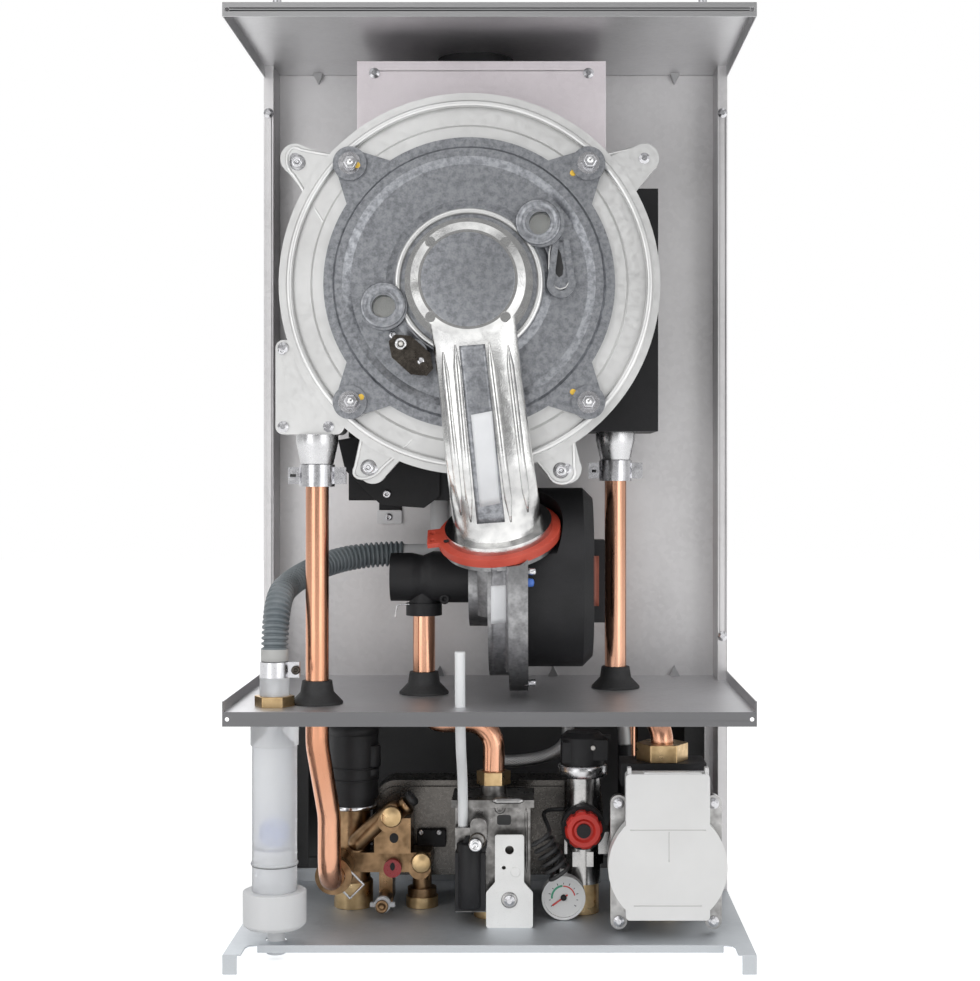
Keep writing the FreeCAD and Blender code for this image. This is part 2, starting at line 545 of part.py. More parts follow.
# Cabinet panels
def side_slab(inner, outer, y, z):
    return [slab((inner, outer), y, z), slab((f"-({outer})", f"-({inner})"), y, z)]


def lip_holes(z):
    return both(lambda x: rod("lip_hole", "3 * sheet", (x, f"{FRONT} - sheet", z), "Y"),
                f"{HALF} - lip_hole_inset")


def dimple(x, z, turn, apex_back):
    """Pressed corner dimple between a panel and the back."""
    wedge = doc.addObject("Part::Wedge", "dimple")
    values = {"Xmin": "-dimple / 2", "Xmax": "dimple / 2", "Ymin": "0", "Ymax": "dimple", "Zmin": "0",
              "Zmax": "dimple", "X2min": "0", "X2max": "0", "Z2min": apex_back, "Z2max": apex_back}
    for prop, expression in values.items():
        bind(wedge, prop, expression)
    y = PANEL_Y if turn == "-Y" else f"{PANEL_Y} - dimple"
    return put(wedge, (x, y, z), turn)


PANEL_SCREWS = [(f"{side} * ({HALF} - panel_screw_inset)", FLANGE_Y, height) for side in (-1, 1)
                for height in (f"({TOP_Z} - panel_screw_high)", f"({SHELF_Z} + panel_screw_low)")]
back_z = (BASE_Z, f"{TOP_Z} - sheet")
back_flat = slab((f"-{INNER_HALF}", INNER_HALF), (PANEL_Y, f"{PANEL_Y} + sheet"), back_z)
back_flanges = side_slab(INNER_HALF, f"{INNER_HALF} + sheet", (FLANGE_Y, f"{PANEL_Y} + sheet"), back_z)
back_lips = side_slab(INNER_HALF, HALF, (FLANGE_Y, f"{FLANGE_Y} + sheet"), back_z)
rear_half = f"({INNER_HALF} - back_strip)"
rear_opening = slab((f"-{rear_half}", rear_half), (f"{PANEL_Y} - sheet", f"{PANEL_Y} + 2 * sheet"),
                    (above("rear_upstand"), f"{SHELF_Z} - opening_head"))
node(cut(join(back_flat, *back_flanges, *back_lips), rear_opening,
         *[screw(place, "-Y") for place in PANEL_SCREWS]), "back_panel")

under_top = f"({TOP_Z} - sheet)"
lip_z = (f"{TOP_Z} - lip_height", under_top)
full_x = (f"-{HALF}", HALF)
top_sheet = join(
    slab(full_x, (FRONT, f"{PANEL_Y} + sheet"), (under_top, TOP_Z)),
    slab(full_x, (FRONT, f"{FRONT} + sheet"), lip_z),
    *side_slab(f"{HALF} - sheet", HALF, (FRONT, FLANGE_Y), lip_z),
    *both(lambda x: dimple(x, under_top, "Y", "dimple"), "dimple_reach"))
node(cut(top_sheet, rod("flue_radius + fit_gap", "3 * sheet", (EX_X, FLUE_Y, f"{TOP_Z} - 2 * sheet")),
         *lip_holes(f"{TOP_Z} - lip_height / 2")), "top_panel")

under_shelf = f"({SHELF_Z} - sheet)"
shelf_lip_z = (f"{SHELF_Z} - lip_height", under_shelf)
GAS_PLACE = ("gas_pipe_shift", FAN_Y)
PIPE_PLACES = ((FLOW_X, FLOW_Y), (RETURN_X, RETURN_Y), GAS_PLACE)
shelf_sheet = join(
    slab(full_x, (FRONT, FLANGE_Y), (under_shelf, SHELF_Z)),
    slab((f"-{INNER_HALF}", INNER_HALF), (FRONT, PANEL_Y), (under_shelf, SHELF_Z)),
    slab(full_x, (FRONT, f"{FRONT} + sheet"), shelf_lip_z),
    *side_slab(f"{HALF} - sheet", HALF, (FRONT, FLANGE_Y), (SHELF_Z, f"{SHELF_Z} + shelf_side_lip")),
    *[dimple(x, SHELF_Z, "-Y", "0") for x in ("-shelf_dimple_reach", "shelf_dimple_reach",
                                              "dimple_reach")])
shelf_hole_z = f"{SHELF_Z} - 2 * sheet"
node(cut(shelf_sheet,
         *[rod("grommet_neck + fit_gap", "3 * sheet", (*place, shelf_hole_z)) for place in PIPE_PLACES],
         rod("trap_neck + fit_gap", "3 * sheet", (TRAP_X, TRAP_Y, shelf_hole_z)),
         rod("tube_radius + fit_gap", "3 * sheet", ("tube_x", deep("tube_depth"), shelf_hole_z)),
         *lip_holes(f"{SHELF_Z} - lip_height / 2")), "shelf_panel")

TAILS = (
    (DIVERTER_X, DIVERTER_Y, "tail_large", above("barrel_foot")),
    (f"{DIVERTER_X} + disc_low_x", DIVERTER_Y, "tail_small", above("stem_foot")),
    ("gas_valve_shift", deep("gas_tail_depth"), "tail_large", above("valve_rise")),
    (RELIEF_X, deep("cold_tail_depth"), "tail_small", above("relief_foot")),
    (PUMP_X, deep("return_tail_depth"), "tail_large", above("pump_foot")),
)
under_base = f"({BASE_Z} - sheet)"
notch_half = f"({HALF} - notch_side)"
base_sheet = join(
    slab(full_x, (FRONT, FLANGE_Y), (under_base, BASE_Z)),
    slab((f"-{INNER_HALF}", INNER_HALF), (FRONT, PANEL_Y), (under_base, BASE_Z)))
base_notch = block((f"-{notch_half}", notch_half), (f"{FRONT} - 2 * notch_corner", deep("notch_depth")),
                   "3 * sheet", ("0", "0", f"{BASE_Z} - 2 * sheet"), corner="notch_corner")
base_holes = [rod(f"{radius} + tail_hole_gap", "3 * sheet", (x, y, f"{BASE_Z} - 2 * sheet"))
              for x, y, radius, top in TAILS]
base_holes.append(rod("trap_drain + tail_hole_gap", "3 * sheet",
                      (TRAP_X, SPIGOT_Y, f"{BASE_Z} - 2 * sheet")))
node(join(
    cut(base_sheet, base_notch, *base_holes),
    *side_slab(f"{HALF} - sheet", HALF, (FRONT, FLANGE_Y), ("0", under_base)),
    *side_slab(f"{HALF} - tab_width", HALF, (FRONT, f"{FRONT} + sheet"), ("0", under_base)),
    slab((f"notch_corner - {notch_half}", f"{notch_half} - notch_corner"),
         (deep("notch_depth"), f"{deep('notch_depth')} + sheet"), (f"{BASE_Z} - notch_lip", under_base)),
    slab((f"-{INNER_HALF}", INNER_HALF), (f"{PANEL_Y} - sheet", PANEL_Y),
         (BASE_Z, above("rear_upstand")))),
    "base_panel")

# Wall frame: two open channels and two cross bars
BEHIND = f"({PANEL_Y} + sheet)"
rail_out = f"({HALF} - rail_inset)"
rail_in = f"({rail_out} - rail_width)"
rail_z = (f"{BASE_Z} + rail_rise", f"{TOP_Z} - rail_drop")
rails = side_slab(rail_in, rail_out, (BEHIND, WALL_Y), rail_z)
rail_hollows = side_slab(f"{rail_in} - rail_gauge", f"{rail_out} - rail_gauge",
                         (f"{BEHIND} + rail_gauge", f"{WALL_Y} - rail_gauge"), rail_z)
bars = [slab((f"-{rail_out}", rail_out), (f"{WALL_Y} - rail_gauge", WALL_Y), span)
        for span in ((f"{rail_z[1]} - bar_height", rail_z[1]), (rail_z[0], f"{SHELF_Z} + bar_height"))]
hang_z = f"({rail_z[1]} - bar_height / 2)"
hang_holes = both(lambda x: rod("hang_hole", "4 * rail_gauge", (x, f"{WALL_Y} - 3 * rail_gauge", hang_z),
                                "Y"),
                  "hang_spacing / 2")
node(cut(join(cut(join(*rails), *rail_hollows), *bars), *hang_holes), "wall_frame")

# Expansion vessel and its pipe down to the pump
VESSEL_Z = f"({SHELF_Z} + vessel_lift)"
NIPPLE_Y = f"({BEHIND} + vessel_thick / 2)"
NIPPLE_Z = f"({VESSEL_Z} - vessel_radius - nipple_length)"


def vessel_round(wall):
    """Flat round vessel with a seam rim, drawn in by a wall for its hollow."""
    low = f"(vessel_boss_rise + {wall})"
    high = f"(vessel_thick - vessel_boss_rise - {wall})"
    rim = f"(vessel_radius - {wall})"
    return turned((
        ("0", low), (f"{rim} - 3 * vessel_edge", low),
        (f"{rim} - vessel_edge / 2", f"vessel_edge + {wall}"),
        (rim, "vessel_thick / 2 - vessel_boss_rise"), (rim, "vessel_thick / 2 + vessel_boss_rise"),
        (f"{rim} - vessel_edge / 2", f"vessel_thick - vessel_edge - {wall}"),
        (f"{rim} - 3 * vessel_edge", high),
        ("0", high)), ("0", BEHIND, VESSEL_Z), "Y")


node(cut(join(vessel_round("0 * sheet"),
              rod("vessel_boss", "2 * vessel_boss_rise", ("0", BEHIND, VESSEL_Z), "Y"),
              rod("nipple_radius", "nipple_length + vessel_edge", ("0", NIPPLE_Y, NIPPLE_Z))),
         vessel_round("2 * sheet"),
         rod("vessel_pipe_bore", "nipple_length + 2 * vessel_edge", ("0", NIPPLE_Y, NIPPLE_Z))),
     "expansion_vessel")
vessel_pipe_x = f"({HALF} - vessel_pipe_inset)"
vessel_port_z = f"({PUMP_Z} + vessel_pipe_port)"
vessel_route = rounded_route([point(place) for place in (
    ("0", NIPPLE_Y, NIPPLE_Z), ("0", NIPPLE_Y, f"{SHELF_Z} + vessel_pipe_high"),
    (vessel_pipe_x, NIPPLE_Y, f"{SHELF_Z} + vessel_pipe_low"), (vessel_pipe_x, NIPPLE_Y, vessel_port_z),
    (vessel_pipe_x, deep("casing_far"), vessel_port_z))], [size("vessel_pipe_bend")] * 3)
shaped("vessel_pipe", pipe_on(vessel_route, size("vessel_pipe_radius"), size("vessel_pipe_bore")))


# Heat exchanger
def from_axis(x="0", z="0"):
    """X and Z of a place given from the exchanger axis."""
    return f"({EX_X} + {x})", f"({EX_Z} + {z})"


BRACKET_Z = f"({TOP_Z} - bracket_top)"
EARS = [from_axis(f"{side} * {x}", z) for side in (-1, 1)
        for x, z in (("ear_high_x", "ear_high_z"), ("ear_low_x", "(-ear_low_z)"))]
header_x = from_axis("(-header_left)")[0]
header_z = from_axis("0", "(-header_low)")[1]
flue_block_top = from_axis("0", "(shell_radius + flue_seat)")[1]
block_y = (deep("block_front"), deep("shell_back"))
shell_out = rod("shell_radius", "shell_back - ring_front - ring_thick", (EX_X, RING_BACK_Y, EX_Z), "Y")
drain_block_z = from_axis("0", "(-drain_block_low)")[1]
side_block_z = from_axis("0", "(-side_block_low)")[1]
shell = join(
    shell_out,
    slab((from_axis("(-flue_block_half)")[0], from_axis("flue_block_half")[0]),
         (f"{FLUE_Y} - flue_block_half", f"{FLUE_Y} + flue_block_half"), (EX_Z, flue_block_top)),
    slab((from_axis("(-drain_block_left)")[0], from_axis("(-drain_block_right)")[0]), block_y,
         (drain_block_z, EX_Z)),
    slab((from_axis("side_block_in")[0], from_axis("side_block_out")[0]), block_y,
         (side_block_z, from_axis("0", "side_block_high")[1])),
    slab((from_axis("(-foot_left)")[0], from_axis("(foot_width - foot_left)")[0]),
         (f"{block_y[1]} - foot_thick", PANEL_Y), (drain_block_z, f"{drain_block_z} + foot_thick")),
    slab((from_axis("(-foot_left)")[0], from_axis("(foot_width - foot_left)")[0]),
         (f"{PANEL_Y} - foot_thick", PANEL_Y),
         (from_axis("0", "(-foot_low)")[1], f"{drain_block_z} + foot_thick")))
coil_room = rod("shell_radius - shell_wall", "shell_back - shell_floor - ring_front - ring_thick",
                (EX_X, RING_BACK_Y, EX_Z), "Y")
flue_throat = rod("flue_throat", "shell_radius + 2 * flue_seat", (EX_X, FLUE_Y, EX_Z))
drain_hole = rod("drain_bore", "drain_block_low", ("drain_x", DRAIN_Y, drain_block_z))
node(cut(shell, coil_room, flue_throat, drain_hole), "exchanger_shell")

coil_start = point((EX_X, f"{RING_BACK_Y} + 2 * coil_wire + insulation_thick", EX_Z))
wound = coil_route(coil_start, V(0, 1, 0), size("coil_radius"), size("coil_pitch"),
                   size("coil_turn_count"),
                   size("coil_wire"))
shaped("exchanger_coil", tube_on(wound, size("coil_wire")))


def ear(x, z):
    """Tapered ear with a round end, made along X and turned to its place on the ring."""
    across = size(x) - size(EX_X)
    up = size(z) - size(EX_Z)
    reach = math.hypot(across, up)
    root = f"{reach} - 2 * ear_root"
    arm = pressed(((root, "-ear_root"), (str(reach), "-ear_radius"), (str(reach), "ear_radius"),
                   (root, "ear_root")),
                  "ear_thick", ORIGIN)
    tip = rod("ear_radius", "ear_thick", (str(reach), "0", "0"))
    made = join(arm, tip)
    angle = math.degrees(math.atan2(up, across))
    made.Placement = FreeCAD.Placement(V(), TURNS["-Y"].multiply(FreeCAD.Rotation(V(0, 0, 1), angle)))
    for letter, expression in zip("xyz", (EX_X, RING_BACK_Y, EX_Z)):
        bind(made, "Placement.Base." + letter, expression)
    return made


ring_body = turned((
    ("ring_bore", "0"), ("ring_radius", "0"), ("ring_radius", "ring_thick"),
    ("ring_radius - ring_rim", "ring_thick"),
    ("ring_radius - ring_rim - ring_slope", "ring_thick - ring_groove"),
    ("ring_groove_in + ring_slope", "ring_thick - ring_groove"), ("ring_groove_in", "ring_thick"),
    ("ring_bore", "ring_thick")), (EX_X, RING_BACK_Y, EX_Z), "-Y")
header = cut(block(("0", "header_width"), ("0", "header_low - header_high"), "header_back - header_front",
                   (header_x, deep("header_back"), header_z), "-Y", corner="ring_rim"),
             rod("ring_radius - ring_rim", "chamber_depth", (EX_X, FRONT, EX_Z), "Y"))
EAR_Y = f"({RING_BACK_Y} - ear_thick)"
HEADER_Y = deep("header_front")
header_screws = [(f"{header_x} + ring_rim", HEADER_Y, f"{header_z} + {rise}")
                 for rise in ("ring_rim", "(header_low - header_high - ring_rim)")]
header_screws.append((f"{header_x} + header_width - 2 * ring_rim", HEADER_Y, f"{header_z} + ring_rim"))
LOBES = [from_axis(f"{across} * lobe_offset", f"{up} * lobe_offset") for across in (-1, 1) for up in (-1,
                                                                                                      1)]
stud_holes = [rod("stud_radius + fit_gap", "3 * ring_thick", (x, f"{RING_BACK_Y} - 2 * ring_thick", z),
                  "Y")
              for x, z in LOBES]
node(cut(join(ring_body, header, *[ear(x, z) for x, z in EARS]),
         *[screw((x, EAR_Y, z), "-Y") for x, z in EARS], *[screw(place, "-Y") for place in header_screws],
         *stud_holes), "exchanger_ring")

# Bracket that hangs the exchanger from the back panel
bracket_x = (from_axis("(bracket_aside - bracket_half)")[0],
             from_axis("(bracket_aside + bracket_half)")[0])
bracket_front = cut(
    slab(bracket_x, (deep("bracket_depth"), f"{deep('bracket_depth')} + bracket_gauge"),
         (f"{BRACKET_Z} - bracket_low", BRACKET_Z)),
    rod("shell_radius + fit_gap", "chamber_depth", (EX_X, FRONT, EX_Z), "Y"))
bracket_shelf = slab(bracket_x, (deep("bracket_depth"), PANEL_Y),
                     (f"{BRACKET_Z} - bracket_gauge", BRACKET_Z))
bracket_screws = [(from_axis(f"bracket_aside + {side} * bracket_screw_x")[0], deep("bracket_depth"),
                   f"({BRACKET_Z} - bracket_screw_drop)") for side in (-1, 1)]
node(cut(join(bracket_front, bracket_shelf), rod("flue_radius + fit_gap", "bracket_low",
         (EX_X, FLUE_Y, f"{BRACKET_Z} - bracket_low / 2")),
         *[screw(place, "-Y") for place in bracket_screws]),
     "exchanger_bracket")
FLUE_TOP = f"({TOP_Z} + flue_stand)"
node(join(
    cut(rod("flue_radius", f"{FLUE_TOP} - {flue_block_top}", (EX_X, FLUE_Y, flue_block_top)),
        rod("flue_bore", "flue_stop", (EX_X, FLUE_Y, f"{FLUE_TOP} - flue_stop")),
        rod("flue_throat", f"{FLUE_TOP} - {flue_block_top}", (EX_X, FLUE_Y, flue_block_top))),
    cut(rod("flue_skirt", "flue_stand", (EX_X, FLUE_Y, TOP_Z)),
        rod("flue_skirt - flue_skirt_wall", "flue_stand", (EX_X, FLUE_Y, TOP_Z))),
    cut(rod("flue_skirt", "sheet", (EX_X, FLUE_Y, TOP_Z)),
        rod("flue_bore", "sheet", (EX_X, FLUE_Y, TOP_Z)))),
    "flue_collar")

# Burner door
door = turned((
    ("door_throat", "0"), ("door_radius", "0"), ("door_radius", "door_flange"),
    ("door_rim_radius + ring_slope", "door_flange"),
    ("door_rim_radius", "door_rim"), ("door_rim_radius - ring_rim", "door_rim"),
    ("door_rim_radius - 2 * ring_rim", "door_field"), ("door_hub_radius + ring_rim", "door_field"),
    ("door_hub_radius", "door_hub"), ("door_throat", "door_hub")), (EX_X, RING_Y, EX_Z), "-Y")


def lobe(across, up):
    """Corner lobe with a web back to the round flange."""
    x, z = from_axis(f"{across} * lobe_offset", f"{up} * lobe_offset")
    web = pressed((("door_rim_radius - lobe_radius", "-lobe_web"),
                   ("lobe_offset * sqrt(2)", "-lobe_radius"),
                   ("lobe_offset * sqrt(2)", "lobe_radius"),
                   ("door_rim_radius - lobe_radius", "lobe_web")),
                  "door_flange", ORIGIN)
    turn = FreeCAD.Rotation(V(0, 0, 1), math.degrees(math.atan2(up, across)))
    held = join(web, rod("lobe_radius", "lobe_thick", ("lobe_offset * sqrt(2)", "0", "0")))
    held.Placement = FreeCAD.Placement(V(), TURNS["-Y"].multiply(turn))
    for letter, expression in zip("xyz", (EX_X, RING_Y, EX_Z)):
        bind(held, "Placement.Base." + letter, expression)
    return held


SIGHTS = (from_axis("sight_right_x", "sight_right_z"), from_axis("sight_left_x", "sight_left_z"))
sight_bosses = [rod("sight_radius", "sight_rise", (x, RING_Y, z), "-Y") for x, z in SIGHTS]
sight_bores = [rod("sight_bore", "2 * sight_rise", (x, f"{RING_Y} + sight_rise / 2", z), "-Y") for x,
               z in SIGHTS]
pad_x, pad_z = from_axis("pad_x", "pad_z")


def drop_loop(half_width, top_half, thick, depth):
    """Drop outline that hangs from the right sight boss, narrow above and round below."""
    tapered = pressed((("-" + half_width, "0"), (half_width, "0"), (top_half, "pad_height"),
                       ("-" + top_half, "pad_height")),
                      thick, (pad_x, depth, pad_z), "-Y")
    return join(tapered, rod(half_width, thick, (pad_x, depth, pad_z), "-Y"))


sight_pad = drop_loop("pad_half", "pad_top_half", "pad_rise", RING_Y)
pad_slot = drop_loop("pad_slot_half", "pad_slot_top_half", "pad_rise", f"{RING_Y} - door_field")
electrode_x, electrode_z = from_axis("electrode_x", "electrode_z")
electrode_seat = rod("electrode_seat_radius", "electrode_seat", (electrode_x, RING_Y, electrode_z), "-Y")
ELECTRODE_SCREW_SHARE = 0.66
lean = math.radians(size("electrode_angle"))
electrode_ends = [(f"{electrode_x} + {side * math.cos(lean) * ELECTRODE_SCREW_SHARE} * electrode_half",
                   f"{electrode_z} - {side * math.sin(lean) * ELECTRODE_SCREW_SHARE} * electrode_half")
                  for side in (-1, 1)]
electrode_hole = rod("ceramic_radius + fit_gap", "3 * electrode_seat",
                     (electrode_x, f"{RING_Y} + electrode_seat", electrode_z), "-Y")
electrode_screw_holes = [rod("screw_shank + fit_gap", "electrode_seat",
                             (x, f"{RING_Y} - electrode_thick", z), "-Y")
                         for x, z in electrode_ends]
node(cut(join(door, *[lobe(across, up) for across in (-1, 1) for up in (-1, 1)], *sight_bosses, sight_pad,
              electrode_seat), *sight_bores, pad_slot, electrode_hole, *electrode_screw_holes,
         *[rod("stud_radius + fit_gap", "3 * lobe_thick", (x, f"{RING_Y} + lobe_thick", z), "-Y") for x,
           z in LOBES]),
     "burner_door")
node(together(*[rod("sight_bore - fit_gap", "glass_thick", (x, f"{RING_Y} - door_field", z), "-Y")
                for x, z in SIGHTS]), "sight_glasses")
node(together(*[join(
    rod("stud_radius", "ring_thick + lobe_thick + nut_height + stud_proud", (x, RING_BACK_Y, z), "-Y"),
    rod("nut_flange", "nut_flange_thick", (x, f"{RING_Y} - lobe_thick", z), "-Y"),
    hexagon("nut_across / sqrt(3)", "nut_height", (x, f"{RING_Y} - lobe_thick", z), "-Y")) for x,
    z in LOBES]), "door_nuts")
node(cut(rod("insulation_radius", "insulation_thick", (EX_X, RING_Y, EX_Z), "Y"),
         rod("insulation_bore", "insulation_thick", (EX_X, RING_Y, EX_Z), "Y"),
         rod("ceramic_radius + fit_gap", "insulation_thick", (electrode_x, RING_Y, electrode_z), "Y")),
         "door_insulation")
node(cut(rod("burner_radius", "burner_length", (EX_X, RING_Y, EX_Z), "Y"),
         rod("burner_radius - burner_wall", "burner_length - burner_wall", (EX_X, RING_Y, EX_Z), "Y")),
         "burner_tube")
electrode_plate = pressed((("-electrode_half", "-electrode_width / 3"),
                           ("-electrode_half / 2", "-electrode_width"),
                           ("electrode_half / 2", "-electrode_width"),
                           ("electrode_half", "-electrode_width / 3"),
                           ("electrode_half", "electrode_width / 3"),
                           ("electrode_half / 2", "electrode_width"),
                           ("-electrode_half / 2", "electrode_width"),
                           ("-electrode_half", "electrode_width / 3")),
                          "electrode_thick", ORIGIN)
electrode_plate.Placement = FreeCAD.Placement(V(), TURNS["-Y"].multiply(
    FreeCAD.Rotation(V(0, 0, 1), -size("electrode_angle"))))
electrode_y = f"({RING_Y} - electrode_seat)"
for letter, expression in zip("xyz", (electrode_x, electrode_y, electrode_z)):
    bind(electrode_plate, "Placement.Base." + letter, expression)
electrode_rods = [join(rod("screw_shank", "electrode_screw_reach - electrode_thick",
                           (x, f"{RING_Y} - electrode_thick", z), "-Y"),
                       rod("electrode_screw", "electrode_screw_proud",
                           (x, f"{electrode_y} - electrode_thick", z), "-Y"))
                  for x, z in electrode_ends]
node(join(electrode_plate, rod("ceramic_radius", "ceramic_stand + ceramic_reach",
          (electrode_x, f"{RING_Y} + ceramic_reach - electrode_seat", electrode_z), "-Y"),
          *electrode_rods), "ignition_electrode")


# Premix duct: a dome on the door and a channel down to a leaning flange
DUCT_LEAN_SHARES = (0.973, -0.231, 0)
DUCT_PLACE = ("duct_x", deep("duct_depth"), DUCT_Z)
LEAN = FreeCAD.Rotation(V(*DUCT_LEAN_SHARES), size("duct_tilt_angle"))


def leaning(obj):
    """Set a piece made upright at the origin on the leaning plane of the duct flange."""
    obj.Placement = FreeCAD.Placement(V(), LEAN)
    for letter, expression in zip("xyz", DUCT_PLACE):
        bind(obj, "Placement.Base." + letter, expression)
    return obj


def shared(first, second):
    common = doc.addObject("Part::Common", "shared")
    common.Base = first
    common.Tool = second
    return common


# Shares of the drop, the setback, the widening and the deepening of the channel
DUCT_SHARES = ((0, 0, 0, 0), (0.27, 0, 0.1, 0), (0.53, 0, 0.2, 0), (0.74, 0.04, 0.5, 0.1),
               (0.88, 0.5, 0.85, 0.75))


def duct_channel(wall):
    """Loft of flattened rounds that ends in a round on the leaning plane."""
    top_depth = size("dome_front + duct_setback + duct_half_deep")
    rounds = []
    for drop_share, setback_share, wide_share, deep_share in DUCT_SHARES:
        middle = V(size(EX_X) + drop_share * size(f"duct_x - {EX_X}"),
                   size(FRONT) + top_depth + setback_share * (size("duct_depth") - top_depth),
                   size(EX_Z) - drop_share * size("duct_drop"))
        half_wide = size("duct_half") + wide_share * size("duct_end - duct_half") - wall
        half_deep = size("duct_half_deep") + deep_share * size("duct_end_deep - duct_half_deep") - wall
        rounds.append(Part.Wire(Part.Ellipse(middle, half_wide, half_deep).toShape()))
    rounds.append(Part.Wire(Part.makeCircle(size("duct_end") - wall, point(DUCT_PLACE),
                                            LEAN.multVec(V(0, 0, 1)))))
    channel = doc.addObject("Part::Feature", "channel")
    channel.Shape = Part.makeLoft(rounds, True)
    return channel


HUB_Y = f"({RING_Y} - door_hub)"
dome_rise = "(ring_front - door_hub - dome_front)"
dome = turned((("0", "0"), ("dome_ring", "0"), ("dome_ring", "dome_ring_thick"),
               ("dome_radius", "dome_ring_thick"),
               ("dome_radius", f"{dome_rise} - dome_shoulder / 2"),
               ("dome_radius - dome_shoulder", dome_rise),
               ("0", dome_rise)), (EX_X, HUB_Y, EX_Z), "-Y")
DIAGONAL_SHARE = math.sqrt(0.5)
pockets = []
for across in (-DIAGONAL_SHARE, DIAGONAL_SHARE):
    for up in (-DIAGONAL_SHARE, DIAGONAL_SHARE):
        pocket_x, pocket_z = from_axis(f"{across} * dome_pocket_reach", f"{up} * dome_pocket_reach")
        pockets.append(rod("dome_pocket", "dome_shoulder",
                           (pocket_x, f"{deep('dome_front')} + dome_pocket_deep", pocket_z), "-Y"))
duct_ring = leaning(rod("duct_flange", "duct_flange_thick"))
duct_throat = rod("door_throat - duct_wall", f"{dome_rise} - duct_wall", (EX_X, HUB_Y, EX_Z), "-Y")
duct_walls = cut(join(dome, duct_channel(0), duct_ring), duct_throat, *pockets)
node(cut(duct_walls, duct_channel(size("duct_wall"))), "premix_duct")

tab_x = ("-(gasket_outer + gasket_tab)", "-gasket_inner - duct_wall")
gasket_tab = slab(tab_x, ("-gasket_tab_width / 2", "gasket_tab_width / 2"), ("-gasket_tab_thick", "0"))
tab_holes = [rod("gasket_tab_hole", "gasket_tab_thick",
                 ("-(gasket_outer + gasket_tab / 2)", y, "-gasket_tab_thick"))
             for y in ("-gasket_tab_width / 4", "gasket_tab_width / 4")]
gasket_disc = rod("gasket_outer", "gasket_thick", ("0", "0", "-gasket_thick"))
node(leaning(cut(join(gasket_disc, gasket_tab),
                 rod("gasket_inner", "gasket_thick", ("0", "0", "-gasket_thick")),
                 *tab_holes)), "duct_gasket")

# Fan housing, wheel and motor on one axis
VOLUTE_X = "(inlet_left + inlet_width)"
FLANGE_X = f"({VOLUTE_X} + volute_width)"
MOTOR_X = f"({FLANGE_X} + fan_flange_width)"
outlet_low = "(gasket_thick + outlet_flange_thick)"
outlet_stub = shared(leaning(rod("outlet_radius", "outlet_depth",
                                 ("0", "0", f"-{outlet_low} - outlet_depth"))),
                     slab((f"{VOLUTE_X} - inlet_width / 2", MOTOR_X), (FRONT, PANEL_Y), (SHELF_Z, EX_Z)))
outlet_ring = leaning(rod("outlet_flange", "outlet_flange_thick", ("0", "0", f"-{outlet_low}")))
over_outlet = leaning(rod("duct_clear", "duct_drop", ("0", "0", "-gasket_thick")))
over_motor = leaning(rod("duct_clear", "duct_drop", ("0", "0", f"-{outlet_low} - fit_gap")))
for tilted, low in ((outlet_ring, outlet_low), (over_outlet, "gasket_thick"),
                    (over_motor, f"({outlet_low} + fit_gap)")):
    way = LEAN.multVec(V(0, 0, 1))
    for letter, expression, share in zip("xyz", DUCT_PLACE, (way.x, way.y, way.z)):
        bind(tilted, "Placement.Base." + letter, f"{expression} - {low} * ({share})")
stub_rod = outlet_stub.Base
for letter, expression, share in zip("xyz", DUCT_PLACE, (way.x, way.y, way.z)):
    bind(stub_rod, "Placement.Base." + letter,
         f"{expression} - ({outlet_low} + outlet_depth) * ({share})")
outlet_bore = leaning(rod("gasket_inner - duct_wall", f"{outlet_low} + outlet_depth"))
for letter, expression, share in zip("xyz", DUCT_PLACE, (way.x, way.y, way.z)):
    bind(outlet_bore, "Placement.Base." + letter,
         f"{expression} - ({outlet_low} + outlet_depth) * ({share})")
bore_room = shared(outlet_bore,
                   slab((f"{VOLUTE_X} + fan_side_wall", f"{MOTOR_X} - fan_side_wall"), (FRONT, PANEL_Y),
                        (SHELF_Z, EX_Z)))
fan_round = [rod(radius, width, (x, FAN_Y, FAN_Z), "X") for radius, width, x in (
    ("inlet_radius", "inlet_width", "inlet_left"), ("volute_radius", "volute_width", VOLUTE_X),
    ("fan_flange_radius", "fan_flange_width", FLANGE_X))]
fan_room_width = "(volute_width + fan_flange_width - 2 * fan_side_wall)"
fan_room = rod("fan_cavity", fan_room_width, (f"{VOLUTE_X} + fan_side_wall", FAN_Y, FAN_Z), "X")
fan_inlet = rod("fan_bore", "2 * inlet_width", ("inlet_left", FAN_Y, FAN_Z), "X")
shaft_hole = rod("wheel_shaft + fit_gap", "fan_flange_width", (FLANGE_X, FAN_Y, FAN_Z), "X")
node(cut(join(cut(join(*fan_round), over_outlet), outlet_stub, outlet_ring), fan_room, fan_inlet,
         shaft_hole,
         bore_room), "fan_housing")


